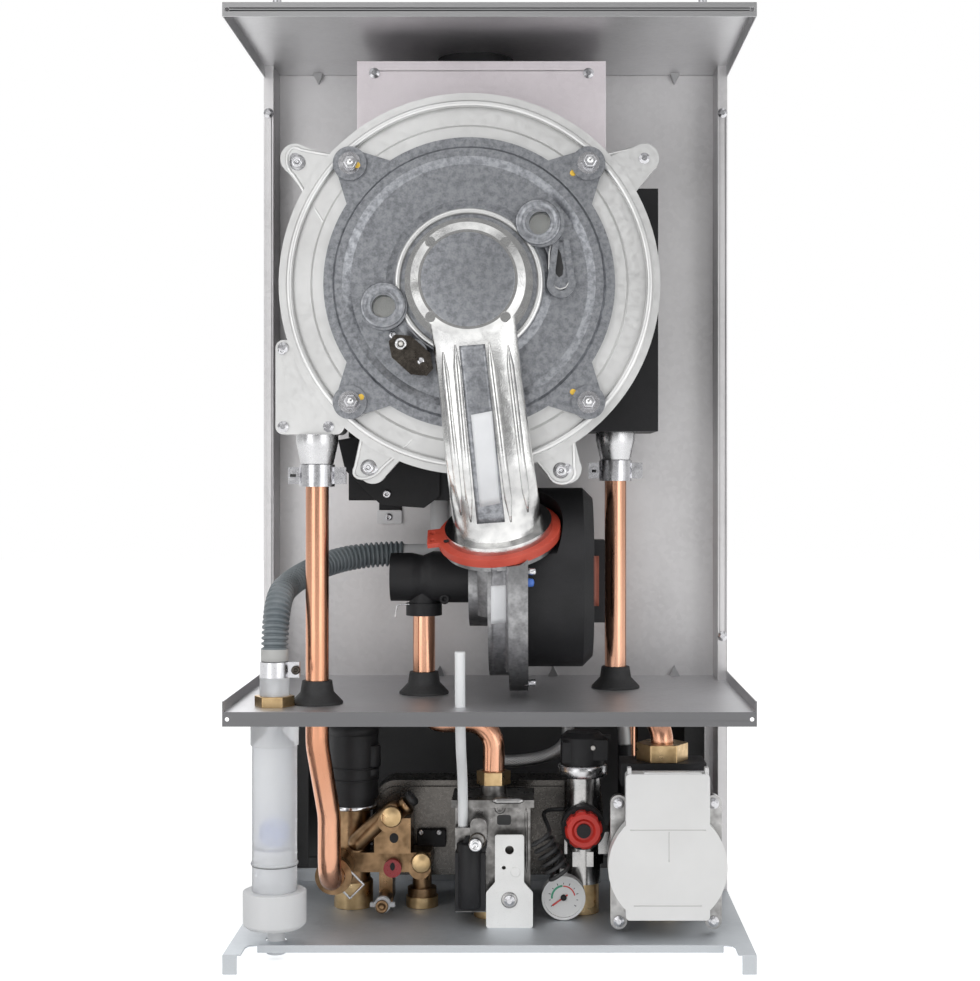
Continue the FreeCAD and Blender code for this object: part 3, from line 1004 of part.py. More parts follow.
def wheel(radius, disc, hub, shaft, shaft_reach, blade, blade_root, blade_height, count, at, turn):
    """Bladed wheel on a shaft, blades along the local axis and the shaft behind the disc."""
    body = doc.addObject("PartDesign::Body", "wheel")
    profile = outline(body, "XZ_Plane", (
        ("0", f"-{shaft_reach}"), (shaft, f"-{shaft_reach}"), (shaft, "0"), (radius, "0"), (radius, disc),
        (hub, disc), (hub, f"{disc} + {blade_height}"), ("0", f"{disc} + {blade_height}")))
    spun = body.newObject("PartDesign::Revolution", "spun")
    spun.Profile = profile
    spun.ReferenceAxis = (profile, ["V_Axis"])
    spun.Angle = 360
    vane = body.newObject("PartDesign::Pad", "vane")
    vane.Profile = outline(body, "XY_Plane", (
        (blade_root, f"-{blade} / 2"), (f"{radius} - {blade}", f"-{blade} / 2"),
        (f"{radius} - {blade}", f"{blade} / 2"), (blade_root, f"{blade} / 2")))
    bind(vane, "Length", f"{disc} + {blade_height}")
    body.Tip = vane
    doc.recompute()
    vanes = body.newObject("PartDesign::PolarPattern", "vanes")
    vanes.Originals = [vane]
    vanes.Axis = ([item for item in body.Origin.OriginFeatures if item.Role == "Z_Axis"][0], [""])
    vanes.Angle = 360
    bind(vanes, "Occurrences", count)
    body.Tip = vanes
    return put(body, at, turn)


node(wheel("wheel_radius", "wheel_disc", "wheel_hub", "wheel_shaft", "fan_shaft_reach", "wheel_blade",
           "wheel_blade_root", f"{fan_room_width} - wheel_disc - 2 * wheel_gap", "wheel_blade_count",
           (f"{MOTOR_X} - fan_side_wall - wheel_gap", FAN_Y, FAN_Z), "-X"), "fan_wheel")
motor_cover = turned((("0", "0"), ("motor_radius", "0"), ("motor_radius", "motor_width - motor_edge"),
                      ("motor_radius - motor_edge", "motor_width"), ("0", "motor_width")),
                      (MOTOR_X, FAN_Y, FAN_Z), "X")
socket_x = f"({MOTOR_X} + motor_width)"
socket_y = (f"{FAN_Y} - plug_half", f"{FAN_Y} + plug_half")
socket_z = (f"{FAN_Z} - plug_low", f"{FAN_Z} + plug_high")
socket = cut(slab((socket_x, f"{socket_x} + plug_width"), socket_y, socket_z),
             slab((f"{socket_x} + plug_width - plug_slot", f"{socket_x} + 2 * plug_width"),
                  (f"{FAN_Y} - plug_half + plug_wall", f"{FAN_Y} + plug_half - plug_wall"),
                  (f"{socket_z[0]} + plug_wall", f"{socket_z[1]} - plug_wall")))
node(cut(join(motor_cover, socket), over_motor,
         rod("wheel_shaft + run_gap", "fan_shaft_reach", (MOTOR_X, FAN_Y, FAN_Z), "X")), "fan_motor")

# Gas-air mixer with its branch for the gas pipe
mixer_barrel = turned((("mixer_bore", "0"), ("mixer_radius", "0"), ("mixer_radius", "mixer_step"),
                       ("mixer_waist", "mixer_waist_from"), ("mixer_cup", "mixer_cup_from"),
                       ("mixer_cup", "mixer_length"), ("mixer_bore", "mixer_length")),
                       ("inlet_left", FAN_Y, FAN_Z), "-X")
BRANCH_Z = f"({FAN_Z} - branch_drop)"
branch = join(rod("branch_radius", "branch_drop", (*GAS_PLACE, BRANCH_Z)),
              rod("branch_flange", "branch_flange_thick", (*GAS_PLACE, BRANCH_Z)))
mixer_hole = rod("mixer_bore", "mixer_length", ("inlet_left", FAN_Y, FAN_Z), "-X")
node(cut(join(mixer_barrel, branch), mixer_hole,
         rod("pipe_radius + fit_gap", "pipe_socket", (*GAS_PLACE, BRANCH_Z)),
         rod("pipe_bore", "branch_drop", (*GAS_PLACE, BRANCH_Z))), "gas_air_mixer")

# Copper pipes
FITTING_Z = {"flow": header_z, "return": side_block_z}
FLOW_TOP = f"({FITTING_Z['flow']} - fitting_length + pipe_socket)"
RETURN_TOP = f"({FITTING_Z['return']} - fitting_length + pipe_socket)"
PORT_X = f"({FLOW_X} + flow_low_x)"
PORT_Z = above("flow_port_rise")


def copper(label, places, bends):
    route = rounded_route([point(place) for place in places], bends)
    return shaped(label, pipe_on(route, size("pipe_radius"), size("pipe_bore")))


pipe_bend = size("pipe_bend")
copper("flow_pipe", (
    (FLOW_X, FLOW_Y, FLOW_TOP), (FLOW_X, FLOW_Y, f"{SHELF_Z} - flow_slant_from"),
    (PORT_X, deep("flow_low_depth"), f"{SHELF_Z} - flow_slant_to"),
    (PORT_X, deep("flow_low_depth"), PORT_Z),
    (PORT_X, deep("(port_front + port_socket)"), PORT_Z)), [2 * pipe_bend, 2 * pipe_bend, pipe_bend])
NECK_Y = deep("neck_depth")
NECK_Z = f"({PUMP_Z} + neck_high)"
RUN_Z = f"({SHELF_Z} - return_run_drop)"
copper("return_pipe", (
    (RETURN_X, RETURN_Y, RETURN_TOP), (RETURN_X, RETURN_Y, RUN_Z), (PUMP_X, NECK_Y, RUN_Z),
    (PUMP_X, NECK_Y, NECK_Z)),
    [pipe_bend, size("pump_bend")])
VALVE_Y = deep("gas_tail_depth")
VALVE_TOP = above("(valve_rise + valve_height + valve_cap_thick + valve_outlet_height)")
GAS_RUN_Z = f"({SHELF_Z} - gas_run_drop)"
copper("gas_pipe", (
    (*GAS_PLACE, f"{BRANCH_Z} + pipe_socket"), (*GAS_PLACE, GAS_RUN_Z),
    ("gas_valve_shift", VALVE_Y, GAS_RUN_Z),
    ("gas_valve_shift", VALVE_Y, VALVE_TOP)), [size("gas_bend"), pipe_bend])


def fitting(x, y, z):
    """Flared fitting on the end of a pipe."""
    return cut(turned((("0", "0"), ("fitting_top", "0"), ("fitting_top", "fitting_flare"),
                       ("fitting_waist", "fitting_taper"), ("fitting_collar", "fitting_taper"),
                       ("fitting_collar", "fitting_length"), ("0", "fitting_length")), (x, y, z), "-Z"),
               rod("pipe_radius + fit_gap", "pipe_socket", (x, y, f"{z} - fitting_length")),
               rod("pipe_bore", "fitting_length", (x, y, f"{z} - fitting_length")))


def clip(x, y, z):
    """Clip of two bent strips around the collar of a fitting, with a bolt on each side."""
    top = f"({z} - fitting_taper - fit_gap)"
    low = f"({top} - clip_height)"
    band = rod("fitting_collar + fit_gap + clip_gauge", "clip_height", (x, y, low))
    wings = slab((f"{x} - clip_width / 2", f"{x} + clip_width / 2"),
                 (f"{y} - clip_gauge", f"{y} + clip_gauge"),
                 (f"{low} + clip_inset", f"{top} - clip_inset"))
    bolts = [rod("clip_bolt", "2 * clip_bolt",
                 (f"{x} + {side} * clip_bolt_x", f"{y} + clip_bolt", f"{low} + clip_height / 2"), "-Y")
             for side in (-1, 1)]
    return cut(join(band, wings, *bolts), rod("fitting_collar + fit_gap", "clip_height", (x, y, low)))


FITTINGS = ((FLOW_X, FLOW_Y, FITTING_Z["flow"]), (RETURN_X, RETURN_Y, FITTING_Z["return"]))
node(together(*[fitting(*place) for place in FITTINGS]), "pipe_fittings")
CLAMP_Z = f"({SHELF_Z} + trap_spigot_rise)"
clamp_band = cut(rod("clamp_radius", "clamp_height", (TRAP_X, TRAP_Y, CLAMP_Z)),
                 rod("clamp_radius - clamp_band", "clamp_height", (TRAP_X, TRAP_Y, CLAMP_Z)))
clamp_ears = slab((f"{TRAP_X} + clamp_radius - clamp_band / 2", f"{TRAP_X} + clamp_radius + clamp_ear"),
                  (f"{TRAP_Y} - clamp_ear_width / 2", f"{TRAP_Y} + clamp_ear_width / 2"),
                  (CLAMP_Z, f"{CLAMP_Z} + clamp_height"))
node(together(*[clip(*place) for place in FITTINGS], join(clamp_band, clamp_ears)), "pipe_clips")
grommet_profile = (
    ("pipe_radius + fit_gap", "-sheet - grommet_lower_thick"),
    ("grommet_lower", "-sheet - grommet_lower_thick"),
    ("grommet_lower", "-sheet"), ("grommet_neck", "-sheet"), ("grommet_neck", "0"),
    ("grommet_flare", "0"),
    ("grommet_flare", "grommet_flare_thick"), ("grommet_waist", "grommet_height / 2"),
    ("grommet_top", "grommet_height"),
    ("pipe_radius + fit_gap", "grommet_height"))
node(together(*[turned(grommet_profile, (*place, SHELF_Z)) for place in PIPE_PLACES]), "pipe_grommets")


def union_nut(radius, length, bore, at):
    return cut(hexagon(radius, length, at), rod(bore, length, at))


node(together(union_nut("nut_gas_radius", "nut_gas_height", "pipe_radius + fit_gap",
                        ("gas_valve_shift", VALVE_Y, VALVE_TOP)),
              union_nut("nut_pump_radius", "nut_pump_height", "pipe_radius + fit_gap",
                        (PUMP_X, NECK_Y, NECK_Z)),
              union_nut("trap_nut_radius", "trap_nut_height", "trap_neck + fit_gap",
                        (TRAP_X, TRAP_Y, SHELF_Z))), "union_nuts")

# Condensate outlet, ribbed hose and trap
DRAIN_Z = f"({drain_block_z} - drain_fall)"
drain_end = ("drain_x - drain_run", DRAIN_Y, DRAIN_Z)
drain_route = rounded_route([point(place) for place in (
    ("drain_x", DRAIN_Y, drain_block_z), ("drain_x", DRAIN_Y, DRAIN_Z), drain_end)], [size("drain_bend")])
shaped("condensate_outlet", pipe_on(drain_route, size("drain_radius"), size("drain_bore")))
CUFF_Z = f"({CLAMP_Z} + clamp_height)"
HOSE_SHARE = 0.45
hose_points = [point(place) for place in (
    drain_end, ("drain_x - drain_run - hose_end_run", DRAIN_Y, DRAIN_Z),
    (f"hose_side_x - {HALF}", deep("hose_side_depth"), f"{CUFF_Z} + hose_side_rise"),
    (TRAP_X, TRAP_Y, f"{CUFF_Z} + hose_top_rise"), (TRAP_X, TRAP_Y, CUFF_Z))]


def soft_bends(points):
    """Bend radii that use most of the shorter run at each corner."""
    bends = []
    for before, corner, after in zip(points, points[1:], points[2:]):
        into = corner - before
        away = after - corner
        shorter = min(into.Length, away.Length)
        bends.append(HOSE_SHARE * shorter / math.tan(into.getAngle(away) / 2))
    return bends


hose_route = rounded_route(hose_points, soft_bends(hose_points))
RIB_SHARES = (0.0, 0.28, 0.72, 1.0)


def hose_round(route_points, ways, index, radius):
    """Circle across the hose with a steady start, so that ribs do not twist."""
    way = ways[index]
    steady = V(0, 0, 1) if abs(way.z) < math.cos(math.radians(20)) else V(1, 0, 0)
    side = steady.cross(way).normalize()
    circle = Part.Circle(route_points[index], way, radius)
    circle.XAxis = side
    return Part.Wire(circle.toShape())


def ribbed_hose(route):
    """Tube with ribs, a plain bore and a smooth cuff at its lower end."""
    rib_count = int(route.Length / size("hose_rib_pitch"))
    steps = [(rib + share) / rib_count for rib in range(rib_count) for share in RIB_SHARES[:-1]] + [1.0]
    places = []
    ways = []
    starts = [0.0]
    for edge in route.OrderedEdges:
        starts.append(starts[-1] + edge.Length)
    for step in steps:
        run = step * route.Length
        index = max(number for number, start in enumerate(starts[:-1]) if start <= run + size("run_gap"))
        edge = route.OrderedEdges[index]
        at = edge.getParameterByLength(min(max(run - starts[index], 0), edge.Length))
        places.append(edge.valueAt(at))
        ways.append(edge.tangentAt(at))
    rounds = []
    for number in range(len(steps)):
        crest = number % (len(RIB_SHARES) - 1) in (1, 2) and number < len(steps) - 1
        rounds.append(hose_round(places, ways, number, size("hose_radius" if crest else "hose_valley")))
    cuff_start = point((TRAP_X, TRAP_Y, CUFF_Z))
    cuff = Part.makeCylinder(size("cuff_radius"), size("cuff_length"), cuff_start)
    return Part.makeLoft(rounds, True, True).fuse(cuff).cut(tube_on(route, size("hose_bore")))


shaped("condensate_hose", ribbed_hose(hose_route))
print("condensate hose length", round(hose_route.Length, 1), "bends",
      [round(bend, 1) for bend in soft_bends(hose_points)])

collar_z = f"({under_shelf} - trap_collar_height)"
joint_z = above("trap_joint")
seat_z = above("trap_seat_rise")
bottom_z = above("trap_bottom")
ground_profile = [
    ("trap_bore", bottom_z), ("trap_radius", bottom_z), ("trap_radius", joint_z),
    ("trap_joint_ridge", joint_z),
    ("trap_joint_ridge", f"{joint_z} + trap_joint_thick"),
    ("trap_radius", f"{joint_z} + trap_joint_thick"),
    ("trap_radius", collar_z), ("trap_collar", collar_z), ("trap_collar", under_shelf),
    ("trap_neck", under_shelf),
    ("trap_neck", f"{SHELF_Z} + trap_nut_height"), ("trap_spigot", f"{SHELF_Z} + trap_nut_height"),
    ("trap_spigot", CLAMP_Z), ("trap_barb", CLAMP_Z), ("trap_barb", CUFF_Z), ("trap_throat", CUFF_Z),
    ("trap_throat", f"{collar_z} + trap_bore - trap_throat"), ("trap_bore", collar_z),
    ("trap_bore", f"{seat_z} + trap_seat_thick"), ("trap_seat_bore", f"{seat_z} + trap_seat_thick"),
    ("trap_seat_bore", seat_z), ("trap_bore", seat_z)]
node(turned(ground_profile, (TRAP_X, TRAP_Y, "0")), "trap_body")
cup_low = above("trap_floor")
SPIGOT_TOP = f"({under_base} - fit_gap)"
cup_round = turned((("0", cup_low), ("trap_cup - ring_groove", cup_low),
                    ("trap_cup", f"{cup_low} + ring_groove"),
                    ("trap_cup", bottom_z), ("0", bottom_z)), (TRAP_X, TRAP_Y, "0"))
spigot = rod("trap_drain", f"{SPIGOT_TOP} - trap_drain_clear", (TRAP_X, SPIGOT_Y, "trap_drain_clear"))
spigot_neck = rod("trap_drain - tail_neck_step", f"{cup_low} + ring_groove - {SPIGOT_TOP}",
                  (TRAP_X, SPIGOT_Y, SPIGOT_TOP))
spigot_bore = rod("trap_drain_bore", f"{bottom_z} - trap_drain_clear",
                  (TRAP_X, SPIGOT_Y, "trap_drain_clear"))
node(cut(join(cup_round, spigot_neck, spigot), spigot_bore), "trap_cup")
ball = doc.addObject("Part::Sphere", "ball")
bind(ball, "Radius", "float_radius")
float_z = f"{seat_z} + trap_seat_thick + sqrt(float_radius ^ 2 - trap_seat_bore ^ 2) + fit_gap"
node(put(ball, (TRAP_X, TRAP_Y, float_z)), "trap_float")

# Diverter valve group
BARREL_TOP = above("barrel_top")
arm_end = (f"{DIVERTER_X} + arm_x", deep("arm_depth"), above("(arm_root_rise + arm_rise)"))
arm_root = (DIVERTER_X, DIVERTER_Y, above("arm_root_rise"))
arm_way = point(arm_end) - point(arm_root)
arm = doc.addObject("Part::Cylinder", "arm")
bind(arm, "Radius", "arm_radius")
bind(arm, "Height", "sqrt(arm_x ^ 2 + arm_rise ^ 2 + (diverter_depth - arm_depth) ^ 2)")
arm.Placement = FreeCAD.Placement(V(), FreeCAD.Rotation(V(0, 0, 1), arm_way))
for letter, expression in zip("xyz", arm_root):
    bind(arm, "Placement.Base." + letter, expression)


def along(x, rise):
    """Place on the diverter group given from the axis of its barrel."""
    return f"({DIVERTER_X} + {x})", above(rise)


port_rings = [rod("port_ring", "port_ring_width / 2",
                  (PORT_X, f"{deep('port_front')} + {ring} * port_ring_width", PORT_Z), "Y")
              for ring in range(int(size("port_ring_count")))]
discs = [rod("disc_radius", "block_far - disc_near", (x, deep("disc_near"), z), "Y")
         for x, z in (along("disc_high_x", "disc_high_rise"), along("disc_low_x", "disc_low_rise"))]
block_x = along("block_left", "block_low")[0]
stem_x = along("disc_low_x", "disc_low_rise")[0]
STEM_Z = above("stem_foot")
cock_x, cock_z = along("cock_x", "cock_rise")
cap_x, cap_z = along("cap_x", "cap_rise")
plate_ports = [(f"{PLATE_X} + {side} * {PLATE_PORT_X}",
                above(f"(plate_rise + plate_height / 2 + {up} * plate_port_z)"))
               for side, up in ((-1, -1), (-1, 1), (1, -1), (1, 1))]
brass = join(
    rod("barrel_radius", f"{BARREL_TOP} - {above('barrel_foot')}",
        (DIVERTER_X, DIVERTER_Y, above("barrel_foot"))),
    rod("port_radius", "diverter_depth - port_front", (PORT_X, deep("port_front"), PORT_Z), "Y"),
    *port_rings, arm, *discs,
    slab((block_x, f"{block_x} + block_width"), (deep("block_near"), deep("block_far")),
         (above("block_low"), above("block_high"))),
    slab((DIVERTER_X, f"{stem_x} + stem_radius"), (deep("bridge_near"), deep("block_far")),
         (above("bridge_low"), above("bridge_high"))),
    rod("stem_radius", f"{above('bridge_low')} - {STEM_Z}", (stem_x, DIVERTER_Y, STEM_Z)),
    rod("stem_flare", "stem_flare_height", (stem_x, DIVERTER_Y, STEM_Z)),
    slab((f"{cock_x} - cock_radius", f"{cock_x} + cock_radius"), (deep("bridge_near"), deep("block_far")),
         (f"{cock_z} - cock_radius", above("bridge_high"))),
    rod("cock_radius", "bridge_near - cock_near", (cock_x, deep("cock_near"), cock_z), "Y"),
    rod("cock_pin", "cock_pin_length", (cock_x, deep("cock_near"), cock_z), "-Y"))
barrel_room = rod("barrel_bore", "barrel_top - barrel_foot",
                  (DIVERTER_X, DIVERTER_Y, f"{above('barrel_foot')} + stem_flare_height"))
port_room = rod("pipe_radius + fit_gap", "port_socket", (PORT_X, deep("port_front"), PORT_Z), "Y")
node(cut(brass, barrel_room, port_room), "diverter_body")
node(rod("cap_radius", "cap_length", (cap_x, deep("bridge_near"), cap_z), "-Y"), "red_cap")
knob_y = f"({deep('cock_near')} - fit_gap)"
cock_body = join(rod("cock_knob", "cock_knob_thick", (cock_x, knob_y, cock_z), "-Y"),
                 slab((f"{cock_x} - cock_wing", f"{cock_x} + cock_wing"),
                      (f"{knob_y} - cock_knob_thick", knob_y),
                      (f"{cock_z} - cock_wing_thick / 2", f"{cock_z} + cock_wing_thick / 2")))
node(cut(cock_body, rod("cock_pin + run_gap", "2 * cock_knob_thick", (cock_x, knob_y, cock_z), "-Y")),
     "drain_knob")
actuator = turned((("0", "0"), ("actuator_collar", "0"), ("actuator_collar", "actuator_collar_height"),
                   ("actuator_radius", "actuator_collar_height"),
                   ("actuator_radius", "actuator_height - actuator_edge"),
                   ("actuator_radius - actuator_edge", "actuator_height"), ("0", "actuator_height")),
                  (DIVERTER_X, DIVERTER_Y, BARREL_TOP))
node(cut(actuator,
         rod("spindle_radius + run_gap", "spindle_head + spindle_disc_thick",
             (DIVERTER_X, DIVERTER_Y, BARREL_TOP))),
     "diverter_motor")
spindle_low = f"({BARREL_TOP} - spindle_reach / 2)"
node(join(rod("spindle_radius", "spindle_reach / 2 + spindle_head / 2",
              (DIVERTER_X, DIVERTER_Y, spindle_low)),
          rod("barrel_bore - run_gap", "spindle_disc_thick", (DIVERTER_X, DIVERTER_Y, spindle_low))),
          "diverter_spindle")

# Plate heat exchanger
plate_low = above("plate_rise")
plate_x = (f"{PLATE_X} - {PLATE_WIDTH} / 2", f"{PLATE_X} + {PLATE_WIDTH} / 2")
plate_stack = block(plate_x, ("0", "plate_height"), "plate_thick - plate_cover_thick",
                    ("0", deep("(plate_near + plate_thick)"), plate_low), "-Y", corner="plate_corner")
plate_cover = block((f"{plate_x[0]} + plate_cover_inset", f"{plate_x[1]} - plate_cover_inset"),
                    ("plate_cover_inset", "plate_height - plate_cover_inset"), "plate_cover_thick",
                    ("0", deep("(plate_near + plate_cover_thick)"), plate_low), "-Y",
                    corner="plate_corner - plate_cover_inset")
node(join(plate_stack, plate_cover,
          *[rod("plate_port", "plate_near - block_far", (x, deep("block_far"), z), "Y")
                                      for x, z in plate_ports],
          slab(("fill_start_x - fill_block", "fill_start_x"),
               (deep("(fill_depth - fill_port)"), deep("(fill_depth + fill_port)")),
               (above("(plate_rise + plate_height - fill_port)"), above("(fill_rise + fill_port)")))),
               "plate_exchanger")

# Gas valve, its coil, the white stay and the compensation tube
VALVE_LOW = above("valve_rise")
valve_x = ("gas_valve_shift - valve_half", "gas_valve_shift + valve_half")
valve_y = (deep("valve_near"), deep("(valve_near + valve_thick)"))
valve_high = f"({VALVE_LOW} + valve_height)"
stay_screw_z = above("stay_screw_rise")
port_base_z = above("tube_port_rise")
valve_body = join(
    slab(valve_x, valve_y, (VALVE_LOW, valve_high)),
    slab((f"{valve_x[0]} - valve_cap_over", f"{valve_x[1]} + valve_cap_over"),
         (f"{valve_y[0]} - valve_cap_over", valve_y[1]),
         (valve_high, f"{valve_high} + valve_cap_thick")),
    rod("valve_outlet", "valve_outlet_height",
        ("gas_valve_shift", VALVE_Y, f"{valve_high} + valve_cap_thick")),
    rod("stay_boss", "valve_near - stay_depth - stay_gauge",
        ("stay_x", deep("(stay_depth + stay_gauge)"), stay_screw_z), "Y"),
    slab(("tube_port_x - tube_port_base", "tube_port_x + tube_port_base"),
         (f"{deep('tube_port_depth')} - tube_port_base", valve_y[0]),
         (port_base_z, f"{port_base_z} + tube_port_base_height")),
    rod("tube_port_radius", "tube_port_height",
        ("tube_port_x", deep("tube_port_depth"), f"{port_base_z} + tube_port_base_height")))
tube_room = rod("tube_radius + 2 * run_gap", "valve_height",
                ("tube_port_x", deep("tube_port_depth"), f"{port_base_z} + tube_port_base_height"))
tube_pin = rod("tube_port_radius", "tube_port_height",
               ("tube_port_x", deep("tube_port_depth"), f"{port_base_z} + tube_port_base_height"))
STAY_SCREW = ("stay_x", deep("stay_depth"), stay_screw_z)
stay_hole_tool = screw(STAY_SCREW, "-Y")
node(join(cut(valve_body, tube_room, stay_hole_tool), tube_pin), "gas_valve")
coil_x = "(gas_valve_shift + coil_block_left)"
nose = ("gas_valve_shift + coil_nose_x", valve_y[0], above("coil_nose_rise"))
node(join(slab((coil_x, f"{coil_x} + coil_block_width"), (f"{valve_y[0]} - coil_block_thick", valve_y[0]),
               (above("coil_block_low"), above("coil_block_high"))),
          cut(rod("coil_nose_radius", "coil_nose_length", nose, "-Y"),
              slab(("tube_port_x - 2 * tube_port_base", "tube_port_x + tube_port_base + fit_gap"),
                   (FRONT, valve_y[0]),
                   (f"{port_base_z} - fit_gap", valve_high))),
          rod("coil_tip_radius", "coil_nose_length + coil_tip_length", nose, "-Y")), "gas_valve_coil")
stay_outline = (("-stay_foot_half", "0"), ("stay_foot_half", "0"), ("stay_foot_half", "stay_foot_height"),
                ("stay_head_half", "stay_neck_height"), ("stay_head_half", "stay_height"),
                ("-stay_head_half", "stay_height"),
                ("-stay_head_half", "stay_neck_height"), ("-stay_foot_half", "stay_foot_height"))
stay_y = deep("(stay_depth + stay_gauge)")
node(cut(pressed(stay_outline, "stay_gauge", ("stay_x", stay_y, BASE_Z), "-Y", corner="stay_gauge"),
         stay_hole_tool,
         rod("stay_hole", "3 * stay_gauge", ("stay_x", f"{stay_y} + stay_gauge", above("stay_hole_rise")),
             "-Y"),
         rod("stay_small_hole", "3 * stay_gauge",
             ("stay_x - stay_small_x", f"{stay_y} + stay_gauge", above("stay_small_rise")), "-Y")),
     "valve_stay")
tube_end_z = f"({port_base_z} + tube_port_base_height)"
tube_points = [point(place) for place in (
    ("tube_x", deep("tube_depth"), f"{SHELF_Z} + tube_stand"),
    ("tube_x", deep("tube_depth"), f"{SHELF_Z} - tube_turn_drop"),
    ("tube_port_x", deep("tube_port_depth"), f"{tube_end_z} + tube_port_height + tube_join_rise"),
    ("tube_port_x", deep("tube_port_depth"), tube_end_z))]
tube_route = rounded_route(tube_points, soft_bends(tube_points))
shaped("compensation_tube", pipe_on(tube_route, size("tube_radius"), size("tube_bore")))
print("compensation tube length", round(tube_route.Length, 1), "bends",
      [round(bend, 1) for bend in soft_bends(tube_points)])

# Relief valve with its bonnet and knob, pressure switch and gauge
RELIEF_TOP = above("relief_top")
RELIEF_AXIS_Z = above("relief_axis_rise")
link_z = (above("(link_rise - link_half_height)"), above("(link_rise + link_half_height)"))
fill_end_z = above("fill_end_rise")
capillary_port = (f"{RELIEF_X} - relief_radius", RELIEF_Y, above("capillary_port_rise"))
node(cut(join(
    rod("relief_radius", f"{RELIEF_TOP} - {above('relief_foot')}",
        (RELIEF_X, RELIEF_Y, above("relief_foot"))),
    hexagon("relief_hex", "relief_hex_height", (RELIEF_X, RELIEF_Y, above("relief_hex_low"))),
    slab((RELIEF_X, f"{PUMP_X} - casing_radius + gauge_rim"), (deep("link_near"), deep("casing_far")),
         link_z),
    slab((f"{PLATE_X} + {PLATE_PORT_X} - plate_port", RELIEF_X), (deep("link_near"), deep("block_far")),
         link_z)),
    rod("bonnet_waist + fit_gap", "bonnet_far - bonnet_near",
        (RELIEF_X, deep("bonnet_near"), RELIEF_AXIS_Z), "Y"),
    rod("casing_radius + fit_gap", "chamber_depth", (PUMP_X, FRONT, PUMP_Z), "Y")), "relief_valve")
knob_y = f"({deep('bonnet_near')} - knob_gap)"
node(join(
    rod("bonnet_radius", "relief_depth - relief_radius - bonnet_near - fit_gap",
        (RELIEF_X, deep("bonnet_near"), RELIEF_AXIS_Z), "Y"),
    rod("bonnet_waist", "bonnet_far - bonnet_near", (RELIEF_X, deep("bonnet_near"), RELIEF_AXIS_Z), "Y"),
    rod("knob_stem", "knob_thick + knob_gap + knob_stem_proud",
        (RELIEF_X, deep("bonnet_near"), RELIEF_AXIS_Z), "-Y")),
    "relief_bonnet")
knob_disc = turned((("knob_stem + run_gap", "0"), ("knob_radius", "0"),
                    ("knob_radius", "knob_thick - knob_dish"),
                    ("knob_radius - knob_dish", "knob_thick"),
                    ("knob_stem + 2 * knob_dish", "knob_thick"),
                    ("knob_stem + knob_dish", "knob_thick - knob_dish"),
                    ("knob_stem + run_gap", "knob_thick - knob_dish")),
                   (RELIEF_X, knob_y, RELIEF_AXIS_Z), "-Y")
KNOB_GRIP_COUNT = 8
KNOB_GRIP_SHARE = 1.12
grips = []
for grip in range(KNOB_GRIP_COUNT):
    turn = 2 * math.pi * (grip + DIAGONAL_SHARE) / KNOB_GRIP_COUNT
    grips.append(rod("knob_grip", "2 * knob_thick",
                     (f"{RELIEF_X} + {math.cos(turn) * KNOB_GRIP_SHARE} * knob_radius",
                      f"{knob_y} + knob_gap / 2",
                      f"{RELIEF_AXIS_Z} + {math.sin(turn) * KNOB_GRIP_SHARE} * knob_radius"), "-Y"))
node(cut(knob_disc, *grips), "relief_knob")
node(turned((("0", "0"), ("switch_ring", "0"), ("switch_ring", "switch_ring_height"),
             ("switch_radius", "switch_ring_height"),
             ("switch_radius", "switch_height - switch_edge"),
             ("switch_radius - switch_edge", "switch_height"),
             ("0", "switch_height")), (RELIEF_X, RELIEF_Y, RELIEF_TOP)), "pressure_switch")
GAUGE_Z = above("gauge_rise")
GAUGE_BACK_Y = deep("(gauge_near + gauge_thick)")
dial = "gauge_thick - gauge_recess"
gauge_case = turned((("0", "0"), ("gauge_radius - gauge_rim", "0"), ("gauge_radius", "gauge_rim"),
                     ("gauge_radius", "gauge_thick"),
                     ("gauge_radius - gauge_rim", "gauge_thick"), ("gauge_radius - gauge_rim", dial),
                     ("gauge_pin", dial),
                     ("gauge_pin", f"{dial} + gauge_pin_rise"), ("0", f"{dial} + gauge_pin_rise")),
                     (GAUGE_X, GAUGE_BACK_Y, GAUGE_Z), "-Y")
gauge_top = f"({GAUGE_Z} + gauge_radius + gauge_stub_rise)"
CAPILLARY_Y = deep("capillary_depth")
STUB_Y = deep("gauge_stub_depth")
node(join(gauge_case,
          rod("gauge_stub", "gauge_stub_rise + gauge_rim",
              (GAUGE_X, STUB_Y, f"{GAUGE_Z} + gauge_radius - gauge_rim"))),
     "gauge_case")
needle_blade = slab(("-needle_width / 2", "needle_width / 2"), ("-needle_tail", "needle_length"),
                    ("0", "needle_thick"))
needle = cut(join(rod("needle_hub", "needle_thick"), needle_blade),
             rod("gauge_pin + run_gap", "2 * needle_thick", ("0", "0", "-needle_thick / 2")))
needle.Placement = FreeCAD.Placement(V(),
                                     TURNS["-Y"].multiply(FreeCAD.Rotation(V(0, 0, 1),
                                                                           size("needle_rest_angle") - 90)))
for letter, expression in zip("xyz", (GAUGE_X, f"{GAUGE_BACK_Y} - ({dial}) - needle_lift", GAUGE_Z)):
    bind(needle, "Placement.Base." + letter, expression)
node(needle, "gauge_needle")

